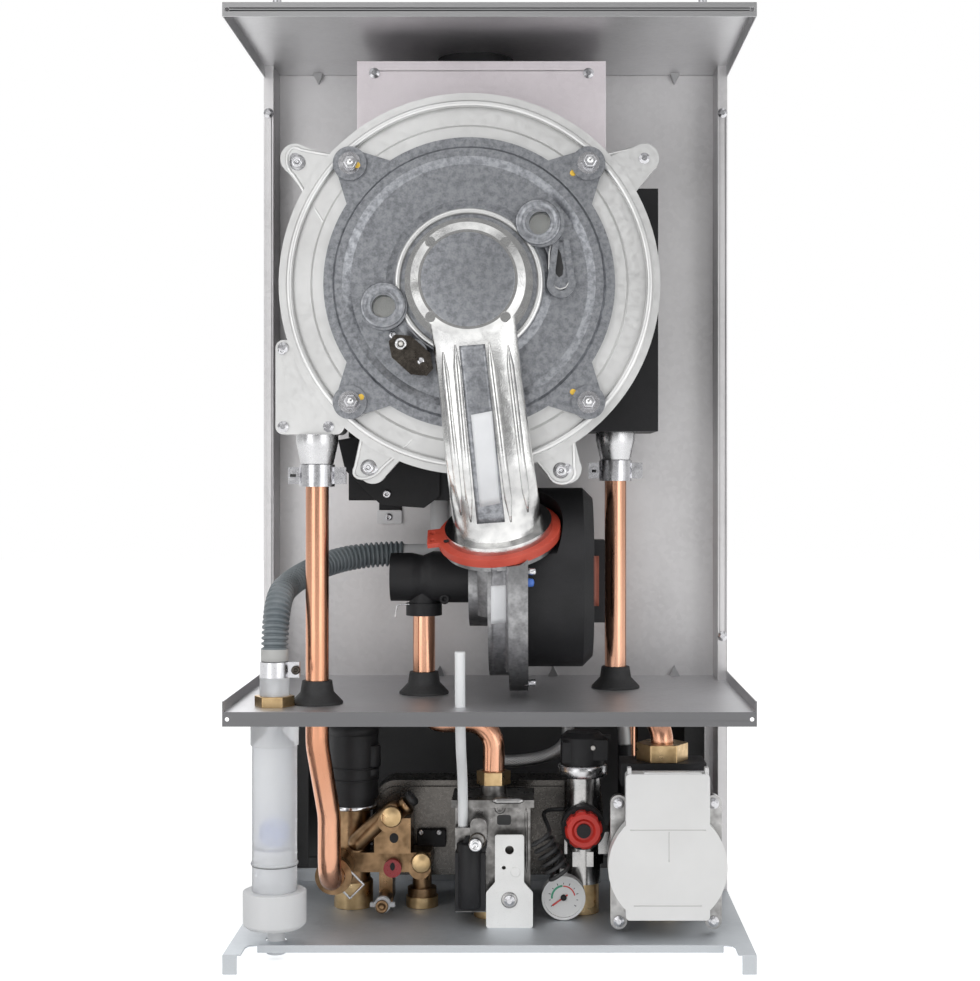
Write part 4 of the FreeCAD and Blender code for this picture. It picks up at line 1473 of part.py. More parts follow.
# Capillary: coil on a slanting axis, led into the gauge below and the relief valve above
coil_low = point(("capillary_low_x", CAPILLARY_Y, above("capillary_low_rise")))
coil_high = point(("capillary_high_x", CAPILLARY_Y, above("capillary_high_rise")))
slant = (coil_high - coil_low).normalize()
loops = coil_route(coil_low, slant, size("capillary_loop"), size("capillary_pitch"),
                   size("capillary_turn_count"), size("capillary_end"))
lead_out = loops.OrderedEdges[-1]
lead_end = lead_out.valueAt(lead_out.LastParameter)
lead_way = lead_out.tangentAt(lead_out.LastParameter)
lead_in = loops.OrderedEdges[0]
lead_start = lead_in.valueAt(lead_in.FirstParameter)
lead_start_way = lead_in.tangentAt(lead_in.FirstParameter)
gauge_end = point((GAUGE_X, STUB_Y, gauge_top))
valve_end = point(capillary_port)
capillary_edges = [Part.makeLine(gauge_end, gauge_end + V(0, 0, size("capillary_end")))]
capillary_edges += biarc(gauge_end + V(0, 0, size("capillary_end")), V(0, 0, 1), lead_start,
                         lead_start_way)
capillary_edges += loops.OrderedEdges
capillary_edges += biarc(lead_end, lead_way, valve_end - V(size("capillary_end"), 0, 0), V(1, 0, 0))
capillary_edges.append(Part.makeLine(valve_end - V(size("capillary_end"), 0, 0), valve_end))
capillary_route = Part.Wire(capillary_edges)
shaped("gauge_capillary", tube_on(capillary_route, size("capillary_radius")))
print("capillary length", round(capillary_route.Length, 1), "loop gap",
      round(size("capillary_pitch - 2 * capillary_radius"), 2),
      "radii", [round(edge.Curve.Radius, 1) for edge in capillary_edges if hasattr(edge.Curve, "Radius")])

# Pump
COVER_FAR_Y = deep("(pump_near + cover_thick)")
cover_below = slab((f"{PUMP_X} - cover_radius", f"{PUMP_X} + cover_radius"),
                   (f"{COVER_FAR_Y} - cover_thick", COVER_FAR_Y),
                   (f"{PUMP_Z} - 2 * cover_radius", f"{PUMP_Z} - cover_bottom"))
cover = join(cut(rod("cover_radius", "cover_thick", (PUMP_X, COVER_FAR_Y, PUMP_Z), "-Y"), cover_below),
             block(("-cover_half", "cover_half"), ("-cover_bottom", "cover_top"), "cover_thick",
                   (PUMP_X, COVER_FAR_Y, PUMP_Z),
                   "-Y", corner="cover_edge"))
node(cover, "pump_cover")
LUGS = [(f"({PUMP_X} + {side} * lug_x)", f"({PUMP_Z} + {up} * lug_z)") for side in (-1, 1) for up in (-1,
                                                                                                      1)]
LUG_Y = deep("lug_near")
can = join(rod("can_radius", "can_far - pump_near - cover_thick", (PUMP_X, COVER_FAR_Y, PUMP_Z), "Y"),
           *[rod("lug_radius", "lug_thick", (x, LUG_Y, z), "Y") for x, z in LUGS],
           *[slab((f"{PUMP_X} + {side} * lug_x - lug_radius", f"{PUMP_X} + {side} * lug_x + lug_radius"),
                  (LUG_Y, f"{LUG_Y} + lug_thick"),
                  (f"{PUMP_Z} - lug_z", f"{PUMP_Z} + lug_z")) for side in (-1, 1)])
shaft_y = f"({deep('pump_cavity_near')} + pump_wheel_gap)"
node(cut(can, *[screw((x, LUG_Y, z), "-Y") for x, z in LUGS],
         rod("pump_shaft + run_gap", "pump_shaft_reach", (PUMP_X, shaft_y, PUMP_Z), "-Y")), "pump_motor")
CAN_FAR_Y = deep("can_far")
neck = slab((f"{PUMP_X} - neck_half_width", f"{PUMP_X} + neck_half_width"),
            (deep("neck_near"), deep("neck_far")), (f"{PUMP_Z} + neck_low", NECK_Z))
throat = slab((f"{PUMP_X} - neck_half_width / 2", f"{PUMP_X} + neck_half_width / 2"),
              (CAN_FAR_Y, deep("neck_far")), (PUMP_Z, NECK_Z))
foot = rod("tail_large", "pump_rise - pump_foot", (PUMP_X, deep("return_tail_depth"), above("pump_foot")))
fill_foot = rod("fill_port", "fill_end_rise - pump_rise", (FILL_DOWN_X, deep("fill_depth"), PUMP_Z))
fill_lug = slab((f"{FILL_DOWN_X} - fill_port", f"{PUMP_X}"),
                (f"{deep('casing_far')} - fill_port", f"{deep('fill_depth')} + fill_port"),
                (PUMP_Z, f"{PUMP_Z} + casing_radius / 2"))
node(cut(join(rod("casing_radius", "casing_far - can_far", (PUMP_X, CAN_FAR_Y, PUMP_Z), "Y"), neck,
              throat, foot, fill_lug, fill_foot),
         rod("pump_cavity", "pump_cavity_depth", (PUMP_X, deep("pump_cavity_near"), PUMP_Z), "Y"),
         rod("pump_shaft + fit_gap", "pump_cavity_near - can_far", (PUMP_X, CAN_FAR_Y, PUMP_Z), "Y"),
         rod("vessel_pipe_radius + fit_gap", "chamber_depth",
             (vessel_pipe_x, deep("casing_far"), vessel_port_z), "Y")), "pump_casing")
node(wheel("pump_wheel", "pump_disc", "pump_hub", "pump_shaft", "(pump_shaft_reach - fit_gap)",
           "pump_blade", "pump_blade_root",
           "pump_cavity_depth - pump_disc - 2 * pump_wheel_gap", "pump_blade_count",
           (PUMP_X, shaft_y, PUMP_Z), "Y"), "pump_wheel")

# Braided filling hose from the plate exchanger side over to the pump
FILL_Y = deep("fill_depth")
fill_z = above("fill_rise")
fill_top = above("fill_top_rise")
fill_points = [point(place) for place in (
    ("fill_start_x", FILL_Y, fill_z), (FILL_UP_X, FILL_Y, fill_z), (FILL_UP_X, FILL_Y, fill_top),
    (FILL_DOWN_X, FILL_Y, fill_top), (FILL_DOWN_X, FILL_Y, fill_end_z))]
fill_route = rounded_route(fill_points, soft_bends(fill_points))
shaped("filling_hose", tube_on(fill_route, size("fill_radius")))
print("filling hose length", round(fill_route.Length, 1), "bends",
      [round(bend, 1) for bend in soft_bends(fill_points)])


# Connection tails through the base
def tail(x, y, radius, top):
    """Hollow threaded tail with a shoulder over the base plate."""
    shoulder = rod(f"{radius} + tail_shoulder", f"{top} - {BASE_Z} - fit_gap",
                   (x, y, f"{BASE_Z} + fit_gap"))
    spout = rod(radius, f"{under_base} - fit_gap - tail_clear", (x, y, "tail_clear"))
    neck = rod(f"{radius} - tail_neck_step", "2 * sheet", (x, y, f"{under_base} - fit_gap"))
    return cut(join(shoulder, neck, spout),
               rod(f"{radius}_bore", f"{top} - tail_clear", (x, y, "tail_clear")))


node(together(*[tail(*place) for place in TAILS]), "connection_tails")
pins = both(lambda x: rod("pin_radius", "pin_height", (x, deep("pin_depth"), TOP_Z)), "pin_reach")
node(together(*SCREWS, *pins), "panel_screws")

# Check every piece, then write one file per node
doc.recompute()
faults = [item.Label for item in doc.Objects if "Invalid" in item.State or "Error" in item.State]
for item in NODES:
    if item.Shape.isNull() or not item.Shape.isValid() or not item.Shape.Solids:
        faults.append(item.Label)
if faults:
    raise RuntimeError("pieces at fault: " + ", ".join(faults))
os.makedirs("parts", exist_ok=True)
for item in NODES:
    item.Shape.exportStep(f"parts/{item.Label}.step")
    print(item.Label, len(item.Shape.Solids), round(item.Shape.Volume / 1000, 1))
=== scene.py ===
import math

import bmesh
import bpy
from mathutils import Matrix, Vector
from mathutils.bvhtree import BVHTree


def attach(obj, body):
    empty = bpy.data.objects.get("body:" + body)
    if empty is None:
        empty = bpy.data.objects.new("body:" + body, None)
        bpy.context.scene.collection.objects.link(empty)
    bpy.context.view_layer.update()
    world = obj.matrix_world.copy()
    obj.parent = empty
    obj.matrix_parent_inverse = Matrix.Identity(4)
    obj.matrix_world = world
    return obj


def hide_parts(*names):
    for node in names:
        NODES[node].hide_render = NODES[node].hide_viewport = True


# Wall-hung condensing boiler with the front casing off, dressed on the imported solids.
# Sizes are written in millimetres and turned into metres by MM; pixels are those of the photograph.
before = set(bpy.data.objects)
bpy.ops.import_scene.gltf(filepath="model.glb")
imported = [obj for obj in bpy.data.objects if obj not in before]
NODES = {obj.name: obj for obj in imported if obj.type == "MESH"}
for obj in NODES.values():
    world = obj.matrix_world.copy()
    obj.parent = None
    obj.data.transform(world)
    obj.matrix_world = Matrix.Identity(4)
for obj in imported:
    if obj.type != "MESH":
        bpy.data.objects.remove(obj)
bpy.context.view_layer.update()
MM = 0.001
FRONT, REAR, RIGHT, UP = (0, -1, 0), (0, 1, 0), (1, 0, 0), (0, 0, 1)

# Camera at the photograph's place, in metres, looking along +Y.
EYE = Vector((0.034, -1.474, 0.376))
FOCAL_PX = 1764.2
CENTRE_PX = (535.0, 472.0)
FRAME_PX = (980.0, 981.0)
SENSOR = 36.0
camera_data = bpy.data.cameras.new("camera")
camera_data.sensor_width = SENSOR
camera_data.lens = FOCAL_PX * SENSOR / FRAME_PX[1]
camera_data.shift_x = (FRAME_PX[0] / 2 - CENTRE_PX[0]) / FRAME_PX[1]
camera_data.shift_y = (CENTRE_PX[1] - FRAME_PX[1] / 2) / FRAME_PX[1]
camera = bpy.data.objects.new("camera", camera_data)
camera.location = EYE
camera.rotation_euler = (math.radians(90), 0, 0)
bpy.context.collection.objects.link(camera)
bpy.context.scene.camera = camera

# Materials
METAL, OTHER = 1.0, 0.0
EVEN = (1, 1, 1)
MIX_SOCKETS = {"FLOAT": (2, 3, 0), "RGBA": (6, 7, 2)}


def tree_of(name):
    """New material with its node tree and principled shader."""
    made = bpy.data.materials.new(name)
    made.use_nodes = True
    tree = made.node_tree
    return made, tree, tree.nodes["Principled BSDF"]


def feed(tree, node, inputs):
    """Inputs of a node, each linked to a socket or set to a constant."""
    for key, value in inputs.items():
        if isinstance(value, bpy.types.NodeSocket):
            tree.links.new(value, node.inputs[key])
        else:
            node.inputs[key].default_value = value


def add(tree, kind, inputs=None, **values):
    """New node with its inputs and plain settings."""
    made = tree.nodes.new(kind)
    for key, value in values.items():
        setattr(made, key, value)
    feed(tree, made, inputs or {})
    return made


def combined(tree, operation, first, second):
    """Two values put together by a math node."""
    return add(tree, "ShaderNodeMath", {0: first, 1: second}, operation=operation).outputs[0]


def textured(tree, stretch, scale, detail=6.0):
    """Noise in the object's own space, stretched along an axis where wanted."""
    place = add(tree, "ShaderNodeTexCoord").outputs["Object"]
    vector = add(tree, "ShaderNodeMapping", {"Vector": place, "Scale": stretch}).outputs["Vector"]
    noise = add(tree, "ShaderNodeTexNoise", {"Vector": vector, "Scale": scale, "Detail": detail})
    return noise.outputs["Fac"], vector


def ranged(tree, value, low, high, start=0.3, end=0.7):
    """Value spread over a range."""
    spans = {"Value": value, "From Min": start, "From Max": end, "To Min": low, "To Max": high}
    return add(tree, "ShaderNodeMapRange", spans).outputs["Result"]


def blended(tree, share, first, second, kind="RGBA"):
    """Colour, or with FLOAT a plain value, between two by a share; either may be a socket."""
    start, end, output = MIX_SOCKETS[kind]
    first, second = ((*value, 1.0) if isinstance(value, (tuple, list)) else value for value in (first, second))
    return add(tree, "ShaderNodeMix", {0: share, start: first, end: second}, data_type=kind).outputs[output]


def celled(tree, vector, scale, **values):
    """Cells of a voronoi texture."""
    return add(tree, "ShaderNodeTexVoronoi", {"Vector": vector, "Scale": scale}, **values).outputs


def along_y(tree, coordinate):
    """Y of one of the texture coordinates."""
    place = add(tree, "ShaderNodeTexCoord").outputs[coordinate]
    return add(tree, "ShaderNodeSeparateXYZ", {"Vector": place}).outputs["Y"]


def dressed(tree, shader, colour, rough, metallic, height, relief, depth=0.4 * MM):
    """Shader given a colour, a roughness, a share of metal and relief from a height."""
    bump = add(tree, "ShaderNodeBump", {"Height": height, "Strength": relief, "Distance": depth}).outputs["Normal"]
    feed(tree, shader, {"Base Color": colour, "Roughness": rough, "Metallic": metallic, "Normal": bump})


def finish(name, low, high, rough, patch=14.0, grain=900.0, relief=0.03, stretch=EVEN, flakes=0.0, front=1.0,
           gloss=0.5, metallic=OTHER, fine_detail=3.0, flake_share=0.45, lip=(-0.9, -0.6)):
    """Metal, plastic or rubber: slow colour patches, fine grain in gloss and relief, and crystal flakes if any.
    A front below one darkens the faces that look out of the front with painted shade, as on the folded lips of the
    sheets."""
    made, tree, shader = tree_of(name)
    slow, _ = textured(tree, stretch, patch)
    fine, vector = textured(tree, stretch, grain, fine_detail)
    colour = blended(tree, ranged(tree, slow, 0.0, 1.0), low, high)
    if flakes:
        tone = add(tree, "ShaderNodeSeparateColor", {"Color": celled(tree, vector, flakes)["Color"]})
        colour = blended(tree, ranged(tree, tone.outputs["Red"], 0.0, flake_share, 0.0, 1.0), colour, high)
    # Painted shade: faces that look out of the front blend towards the lighter colour scaled by front.
    if front != 1.0:
        painted_front_shade = ranged(tree, along_y(tree, "Normal"), 1.0, 0.0, *lip)
        colour = blended(tree, painted_front_shade, colour, [front * value for value in high])
    shader.inputs["Specular IOR Level"].default_value = gloss
    dressed(tree, shader, colour, ranged(tree, fine, *rough), metallic, fine, relief)
    return made


def metal(*row, **more):
    """Finish of bare metal."""
    return finish(*row, metallic=METAL, **more)


def cast(name, low, high, rough, scale, spots=0.3, stains=0.75, stain_detail=9.0, grain=700.0, grain_detail=4.0,
         cell_ratio=3, stain_span=(0.36, 0.64), spot_span=(0.1, 0.6), relief=0.2):
    """Die-cast metal: mottled cold-flow stains, pits and a slightly orange-peel skin."""
    made, tree, shader = tree_of(name)
    stain, vector = textured(tree, EVEN, scale, stain_detail)
    fine, _ = textured(tree, EVEN, grain, grain_detail)
    cells = celled(tree, vector, scale * cell_ratio, feature="SMOOTH_F1")
    mottled = combined(tree, "ADD", ranged(tree, stain, 0.0, stains, *stain_span),
                       ranged(tree, cells["Distance"], 0.0, spots, *spot_span))
    dressed(tree, shader, blended(tree, mottled, low, high), ranged(tree, stain, *reversed(rough)), METAL, fine, relief)
    return made


def milky(name, colour, other, weight, rough, flow=(1, 1, 0.3), flow_scale=40.0, grain=500.0, grain_detail=3.0,
          rough_spread=0.15, bending=1.1, relief=0.02):
    """Translucent moulded plastic with faint flow marks."""
    made, tree, shader = tree_of(name)
    slow, _ = textured(tree, flow, flow_scale)
    fine, _ = textured(tree, EVEN, grain, grain_detail)
    feed(tree, shader, {"Transmission Weight": weight, "IOR": bending})
    dressed(tree, shader, blended(tree, ranged(tree, slow, 0.0, 1.0), colour, other),
            ranged(tree, fine, rough, rough + rough_spread), OTHER, slow, relief)
    return made


def braided(name, low, high, rough, lean=40, scale=2.6, grain=600.0, relief=0.8):
    """Woven steel over a hose, laid out on the tube's own map."""
    made, tree, shader = tree_of(name)
    place = add(tree, "ShaderNodeTexCoord").outputs["UV"]
    waves = []
    for side in (1, -1):
        turn = (0, 0, side * math.radians(lean))
        vector = add(tree, "ShaderNodeMapping", {"Vector": place, "Rotation": turn}).outputs["Vector"]
        wave = add(tree, "ShaderNodeTexWave", {"Vector": vector, "Scale": scale}, wave_profile="SIN")
        waves.append(wave.outputs["Fac"])
    weave = combined(tree, "MAXIMUM", *waves)
    fine, _ = textured(tree, EVEN, grain)
    dressed(tree, shader, blended(tree, weave, low, high), ranged(tree, fine, *rough), METAL, weave, relief)
    return made


# Columns: name, darker and lighter colour, roughness, scale of the patches and of the grain, relief.
SHEET = {"rough": (0.38, 0.5), "patch": 9, "grain": 1200, "flakes": 260}
# The base, shelf and top sheets take a front below one: painted shade on their faces that look out of the front.
BASE_STEEL_SHADED_FRONT = metal("base_steel", (0.64, 0.67, 0.7), (0.74, 0.77, 0.8), (0.56, 0.66), 9, 1000, flakes=200,
                   front=0.72)
BACK_STEEL = metal("back_steel", (0.56, 0.55, 0.555), (0.68, 0.67, 0.675), **SHEET)
SHELF_STEEL_SHADED_FRONT = metal("shelf_steel", (0.56, 0.56, 0.575), (0.68, 0.68, 0.7), front=0.25, **SHEET)
TOP_STEEL_SHADED_FRONT = metal("top_steel", (0.58, 0.58, 0.59), (0.7, 0.7, 0.71), front=0.48, **SHEET)
GALVANISED = metal("galvanised", (0.5, 0.5, 0.51), (0.6, 0.6, 0.61), **SHEET)
PINK_ZINC = metal("pink_zinc", (0.72, 0.67, 0.695), (0.81, 0.76, 0.785), (0.5, 0.62), 12, 1200, flakes=220)
BRIGHT_ZINC = metal("bright_zinc", (0.52, 0.52, 0.54), (0.66, 0.66, 0.68), (0.2, 0.3), 60, 300, 0.004)
STEEL = metal("steel", (0.5, 0.5, 0.51), (0.62, 0.62, 0.63), (0.24, 0.32), 40, 300, 0.004)
PRESSED_STEEL = metal("pressed_steel", (0.085, 0.08, 0.075), (0.14, 0.13, 0.12), (0.24, 0.34), 16, 500, 0.01)
DARK_STEEL = metal("dark_steel", (0.06, 0.052, 0.045), (0.12, 0.105, 0.09), (0.2, 0.32), 90, 400, 0.01)
NICKEL = metal("nickel", (0.34, 0.34, 0.34), (0.48, 0.47, 0.46), (0.16, 0.28), 50, 500, 0.02)
CHROME = metal("chrome", (0.6, 0.6, 0.61), (0.7, 0.7, 0.71), (0.06, 0.14), 60, 900, 0.04)
COPPER = metal("copper", (0.58, 0.28, 0.17), (0.74, 0.42, 0.29), (0.17, 0.3), 30, 300, 0.02, stretch=(1, 1, 0.08))
RING_ALUMINIUM = metal("ring_aluminium", (0.6, 0.6, 0.595), (0.74, 0.74, 0.735), (0.36, 0.47), 14, 300, 0.01)
BLACK_PLASTIC = finish("black_plastic", (0.01, 0.01, 0.011), (0.018, 0.018, 0.02), (0.42, 0.6), 30, 1300, 0.2,
                       gloss=0.3)
BLACK_RUBBER = finish("black_rubber", (0.014, 0.014, 0.015), (0.028, 0.028, 0.029), (0.5, 0.68), 60, 900, 0.3)
# Black paint, also laid as painted shade in slots and on the frame behind the lower bay.
BLACK_PAINT_AND_SHADE = finish("black_paint", (0.012, 0.012, 0.013), (0.02, 0.02, 0.021), (0.45, 0.6), 20, 900, 0.15)
RED_RUBBER = finish("red_rubber", (0.5, 0.055, 0.03), (0.6, 0.085, 0.05), (0.4, 0.55), 40, 800, 0.15)
RED_PLASTIC = finish("red_plastic", (0.55, 0.028, 0.02), (0.64, 0.04, 0.028), (0.28, 0.42), 60, 900, 0.1)
CAP_RED = finish("cap_red", (0.26, 0.018, 0.024), (0.36, 0.03, 0.035), (0.25, 0.4), 60, 900, 0.08)
RUST_PLASTIC = finish("rust_plastic", (0.2, 0.05, 0.03), (0.26, 0.07, 0.04), (0.4, 0.55), 90)
WHITE_PLASTIC = finish("white_plastic", (0.7, 0.7, 0.695), (0.74, 0.74, 0.735), (0.32, 0.45), 30, 1100, 0.06)
GREY_PLASTIC = finish("grey_plastic", (0.42, 0.42, 0.41), (0.5, 0.5, 0.49), (0.4, 0.55), 60)
SEAM = finish("seam", (0.56, 0.56, 0.55), (0.61, 0.61, 0.6), (0.5, 0.6), 60)
LABEL = finish("bare_label", (0.7, 0.71, 0.73), (0.76, 0.77, 0.79), (0.4, 0.5), 60, 600, 0.05)
STAY_PAINT = finish("stay_paint", (0.74, 0.74, 0.73), (0.82, 0.82, 0.81), (0.25, 0.4), 40, 900, 0.08)
CERAMIC = finish("ceramic", (0.66, 0.64, 0.6), (0.76, 0.74, 0.7), (0.2, 0.35), 90)
BLUE_PLASTIC = finish("blue_plastic", (0.06, 0.16, 0.55), (0.09, 0.22, 0.66), (0.3, 0.45), 60, 900, 0.08)
GREEN_PRINT = finish("green_print", (0.05, 0.3, 0.18), (0.07, 0.36, 0.22), (0.4, 0.5), 80)
YELLOW_PAINT = finish("yellow_paint", (0.75, 0.46, 0.04), (0.85, 0.56, 0.08), (0.4, 0.6), 200, 700, 0.3)
HOSE_PLASTIC = finish("hose_plastic", (0.12, 0.145, 0.16), (0.2, 0.225, 0.24), (0.36, 0.5), 60, 800, 0.1)
FIBRE = finish("fibre", (0.55, 0.53, 0.48), (0.66, 0.64, 0.58), (0.85, 0.95), 80, 1500, 0.6)
VESSEL_PAINT = finish("vessel_paint", (0.36, 0.37, 0.38), (0.42, 0.43, 0.44), (0.3, 0.45), 12, 700, 0.12)
# Columns: name, darker and lighter colour, roughness, scale of the stains.
DOOR_ALUMINIUM = cast("door_aluminium", (0.155, 0.16, 0.175), (0.33, 0.34, 0.36), (0.36, 0.48), 260, spots=0.35)
DUCT_ALUMINIUM = cast("duct_aluminium", (0.44, 0.44, 0.44), (0.72, 0.72, 0.71), (0.14, 0.28), 60)
FAN_ALUMINIUM = cast("fan_aluminium", (0.19, 0.19, 0.195), (0.34, 0.34, 0.345), (0.28, 0.44), 160)
# Painted shade: a slightly darker aluminium laid over the fan volute's face.
VOLUTE_SHADE_ALUMINIUM = cast("volute_shade_aluminium", (0.19, 0.19, 0.2), (0.31, 0.31, 0.32), (0.4, 0.55), 160)
VALVE_ALUMINIUM = cast("valve_aluminium", (0.1, 0.097, 0.093), (0.28, 0.272, 0.265), (0.24, 0.4), 110)
PUMP_ALUMINIUM = cast("pump_aluminium", (0.25, 0.245, 0.24), (0.46, 0.455, 0.45), (0.26, 0.42), 110)
BRASS = cast("brass", (0.145, 0.091, 0.049), (0.32, 0.205, 0.113), (0.26, 0.4), 80)
BRASS_FACE = cast("brass_face", (0.44, 0.3, 0.15), (0.66, 0.48, 0.265), (0.24, 0.38), 80)
# Columns: name, two colours, share let through, roughness.
CLEAR_PLASTIC = milky("clear_plastic", (0.82, 0.83, 0.85), (0.88, 0.89, 0.9), 0.6, 0.4)
MILK_PLASTIC = milky("milk_plastic", (0.74, 0.75, 0.76), (0.8, 0.8, 0.81), 0.15, 0.3)
TUBE_PLASTIC = milky("tube_plastic", (0.84, 0.86, 0.87), (0.9, 0.91, 0.92), 0.12, 0.3)
LENS = milky("lens", (0.9, 0.92, 0.93), (0.95, 0.96, 0.97), 0.9, 0.05)
BRAID = braided("braid", (0.1, 0.1, 0.1), (0.58, 0.58, 0.58), (0.3, 0.45))

# Finishes and rounded edges of the solids; cords replaced further down are not listed
FINISHES = {
    BACK_STEEL: "back_panel", TOP_STEEL_SHADED_FRONT: "top_panel", SHELF_STEEL_SHADED_FRONT: "shelf_panel", BASE_STEEL_SHADED_FRONT: "base_panel",
    # The wall frame's black stands for the dark behind the lower bay: painted shade.
    BLACK_PAINT_AND_SHADE: "wall_frame", VESSEL_PAINT: "expansion_vessel", PINK_ZINC: "exchanger_bracket",
    COPPER: "vessel_pipe flow_pipe return_pipe gas_pipe", RING_ALUMINIUM: "exchanger_ring",
    STEEL: "exchanger_coil burner_tube pipe_fittings", DOOR_ALUMINIUM: "burner_door",
    BLACK_PLASTIC: "exchanger_shell flue_collar fan_wheel fan_motor gas_air_mixer diverter_motor gas_valve_coil "
                   "relief_bonnet pressure_switch pump_casing pump_wheel",
    BRIGHT_ZINC: "door_nuts pipe_clips panel_screws", LENS: "sight_glasses", FIBRE: "door_insulation",
    DARK_STEEL: "ignition_electrode", DUCT_ALUMINIUM: "premix_duct", RED_RUBBER: "duct_gasket",
    FAN_ALUMINIUM: "fan_housing", BLACK_RUBBER: "pipe_grommets", CAP_RED: "red_cap",
    BRASS: "diverter_body diverter_spindle", BRASS_FACE: "union_nuts connection_tails",
    MILK_PLASTIC: "condensate_outlet trap_cup", CLEAR_PLASTIC: "trap_body drain_knob", BLUE_PLASTIC: "trap_float",
    PRESSED_STEEL: "plate_exchanger", VALVE_ALUMINIUM: "gas_valve", STAY_PAINT: "valve_stay", NICKEL: "relief_valve",
    RED_PLASTIC: "relief_knob gauge_needle", WHITE_PLASTIC: "gauge_case pump_cover", PUMP_ALUMINIUM: "pump_motor",
}
BEVELS = {"gas_valve": 1.2, "diverter_body": 0.9, "pump_cover": 1.2, "fan_motor": 1.0, "burner_door": 0.8,
          "premix_duct": 0.8, "trap_body": 0.6, "trap_cup": 0.8, "diverter_motor": 1.0, "relief_knob": 0.9,
          "plate_exchanger": 1.2, "union_nuts": 0.6, "duct_gasket": 0.8, "gauge_case": 0.6}
USUAL_BEVEL = 0.35
BEVEL_STEPS = 2
EDGE_ANGLE = math.radians(40)
WELD_REACH = 0.02
PLAIN = ("exchanger_coil", "sight_glasses", "gauge_needle", "panel_screws")


def soften(shown, width):
    """Rounded edges by a modifier."""
    rounding = shown.modifiers.new("bevel", "BEVEL")
    rounding.width = width * MM
    rounding.segments = BEVEL_STEPS
    rounding.limit_method = "ANGLE"
    rounding.angle_limit = EDGE_ANGLE


for label, material in ((label, material) for material, labels in FINISHES.items() for label in labels.split()):
    shown = NODES[label]
    shown.data.materials.clear()
    shown.data.materials.append(material)
    if label not in PLAIN:
        shown.modifiers.new("weld", "WELD").merge_threshold = WELD_REACH * MM
        soften(shown, BEVELS.get(label, USUAL_BEVEL))
        shown.modifiers.new("normals", "WEIGHTED_NORMAL").keep_sharp = True


# Shapes
def keep(name, mesh, material, body="boiler", bevel=0.0):
    """Mesh as a piece that rides on a body."""
    made = bpy.data.objects.new(name, mesh)
    mesh.materials.append(material)
    bpy.context.collection.objects.link(made)
    if bevel:
        soften(made, bevel)
    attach(made, body)
    return made


def skinned(name, rings, hollow=False, smooth=True):
    """Mesh through rings of points that each have the same count; hollow joins the last ring to the first."""
    mesh = bpy.data.meshes.new(name)
    count = len(rings[0])
    points = [point for ring in rings for point in ring]
    faces = []
    for ring in range(len(rings) if hollow else len(rings) - 1):
        after = (ring + 1) % len(rings)
        for step in range(count):
            ahead = (step + 1) % count
            faces.append((ring * count + step, ring * count + ahead, after * count + ahead, after * count + step))
    if not hollow:
        faces.append(tuple(reversed(range(count))))
        faces.append(tuple(range((len(rings) - 1) * count, len(rings) * count)))
    mesh.from_pydata(points, [], faces)
    mesh.update()
    if smooth:
        for face in mesh.polygons:
            face.use_smooth = len(face.vertices) == 4
    return mesh


def smoothed(mesh):
    """Mesh with all its faces shaded smooth."""
    for face in mesh.polygons:
        face.use_smooth = True
    return mesh


def facing(axis):
    """Turn that takes +Z to an axis."""
    return Vector(UP).rotation_difference(Vector(axis)).to_matrix().to_4x4()


def round_steps(count):
    """Angles of a full turn in equal steps."""
    return [2 * math.pi * step / count for step in range(count)]


def lathe(name, profile, at, axis, material, sides=40, corners=None, hollow=False, bevel=0.0, slot=None, body="boiler"):
    """Turned piece from (radius, height) pairs at a place in metres.
    Corners makes it a nut, and hollow leaves its bore open."""
    turn = Matrix.Translation(at) @ facing(axis)
    rings = [[turn @ Vector((radius * MM * math.cos(angle), radius * MM * math.sin(angle), height * MM))
              for angle in round_steps(corners or sides)] for radius, height in profile]
    return keep(name, skinned(name, rings, hollow, not corners), material, body, bevel)


def plate(name, outline, low, high, material, bevel=0.4):
    """Upright plate: an outline of (x, z) between two Y."""
    rings = [[Vector((x * MM, y * MM, z * MM)) for x, z in outline] for y in (low, high)]
    return keep(name, skinned(name, rings, smooth=False), material, bevel=bevel)


def smooth_line(name, route, resolution):
    """Points in metres read from a smooth spline whose control points are the route's."""
    curve = bpy.data.curves.new(name, "CURVE")
    curve.dimensions = "3D"
    curve.resolution_u = resolution
    spline = curve.splines.new("NURBS")
    spline.points.add(len(route) - 1)
    for point, place in zip(spline.points, route):
        point.co = (place[0] * MM, place[1] * MM, place[2] * MM, 1.0)
    spline.order_u = 3
    spline.use_endpoint_u = True
    line = bpy.data.objects.new(name, curve)
    mesh = bpy.data.meshes.new_from_object(line)
    points = [vertex.co.copy() for vertex in mesh.vertices]
    bpy.data.objects.remove(line)
    return points


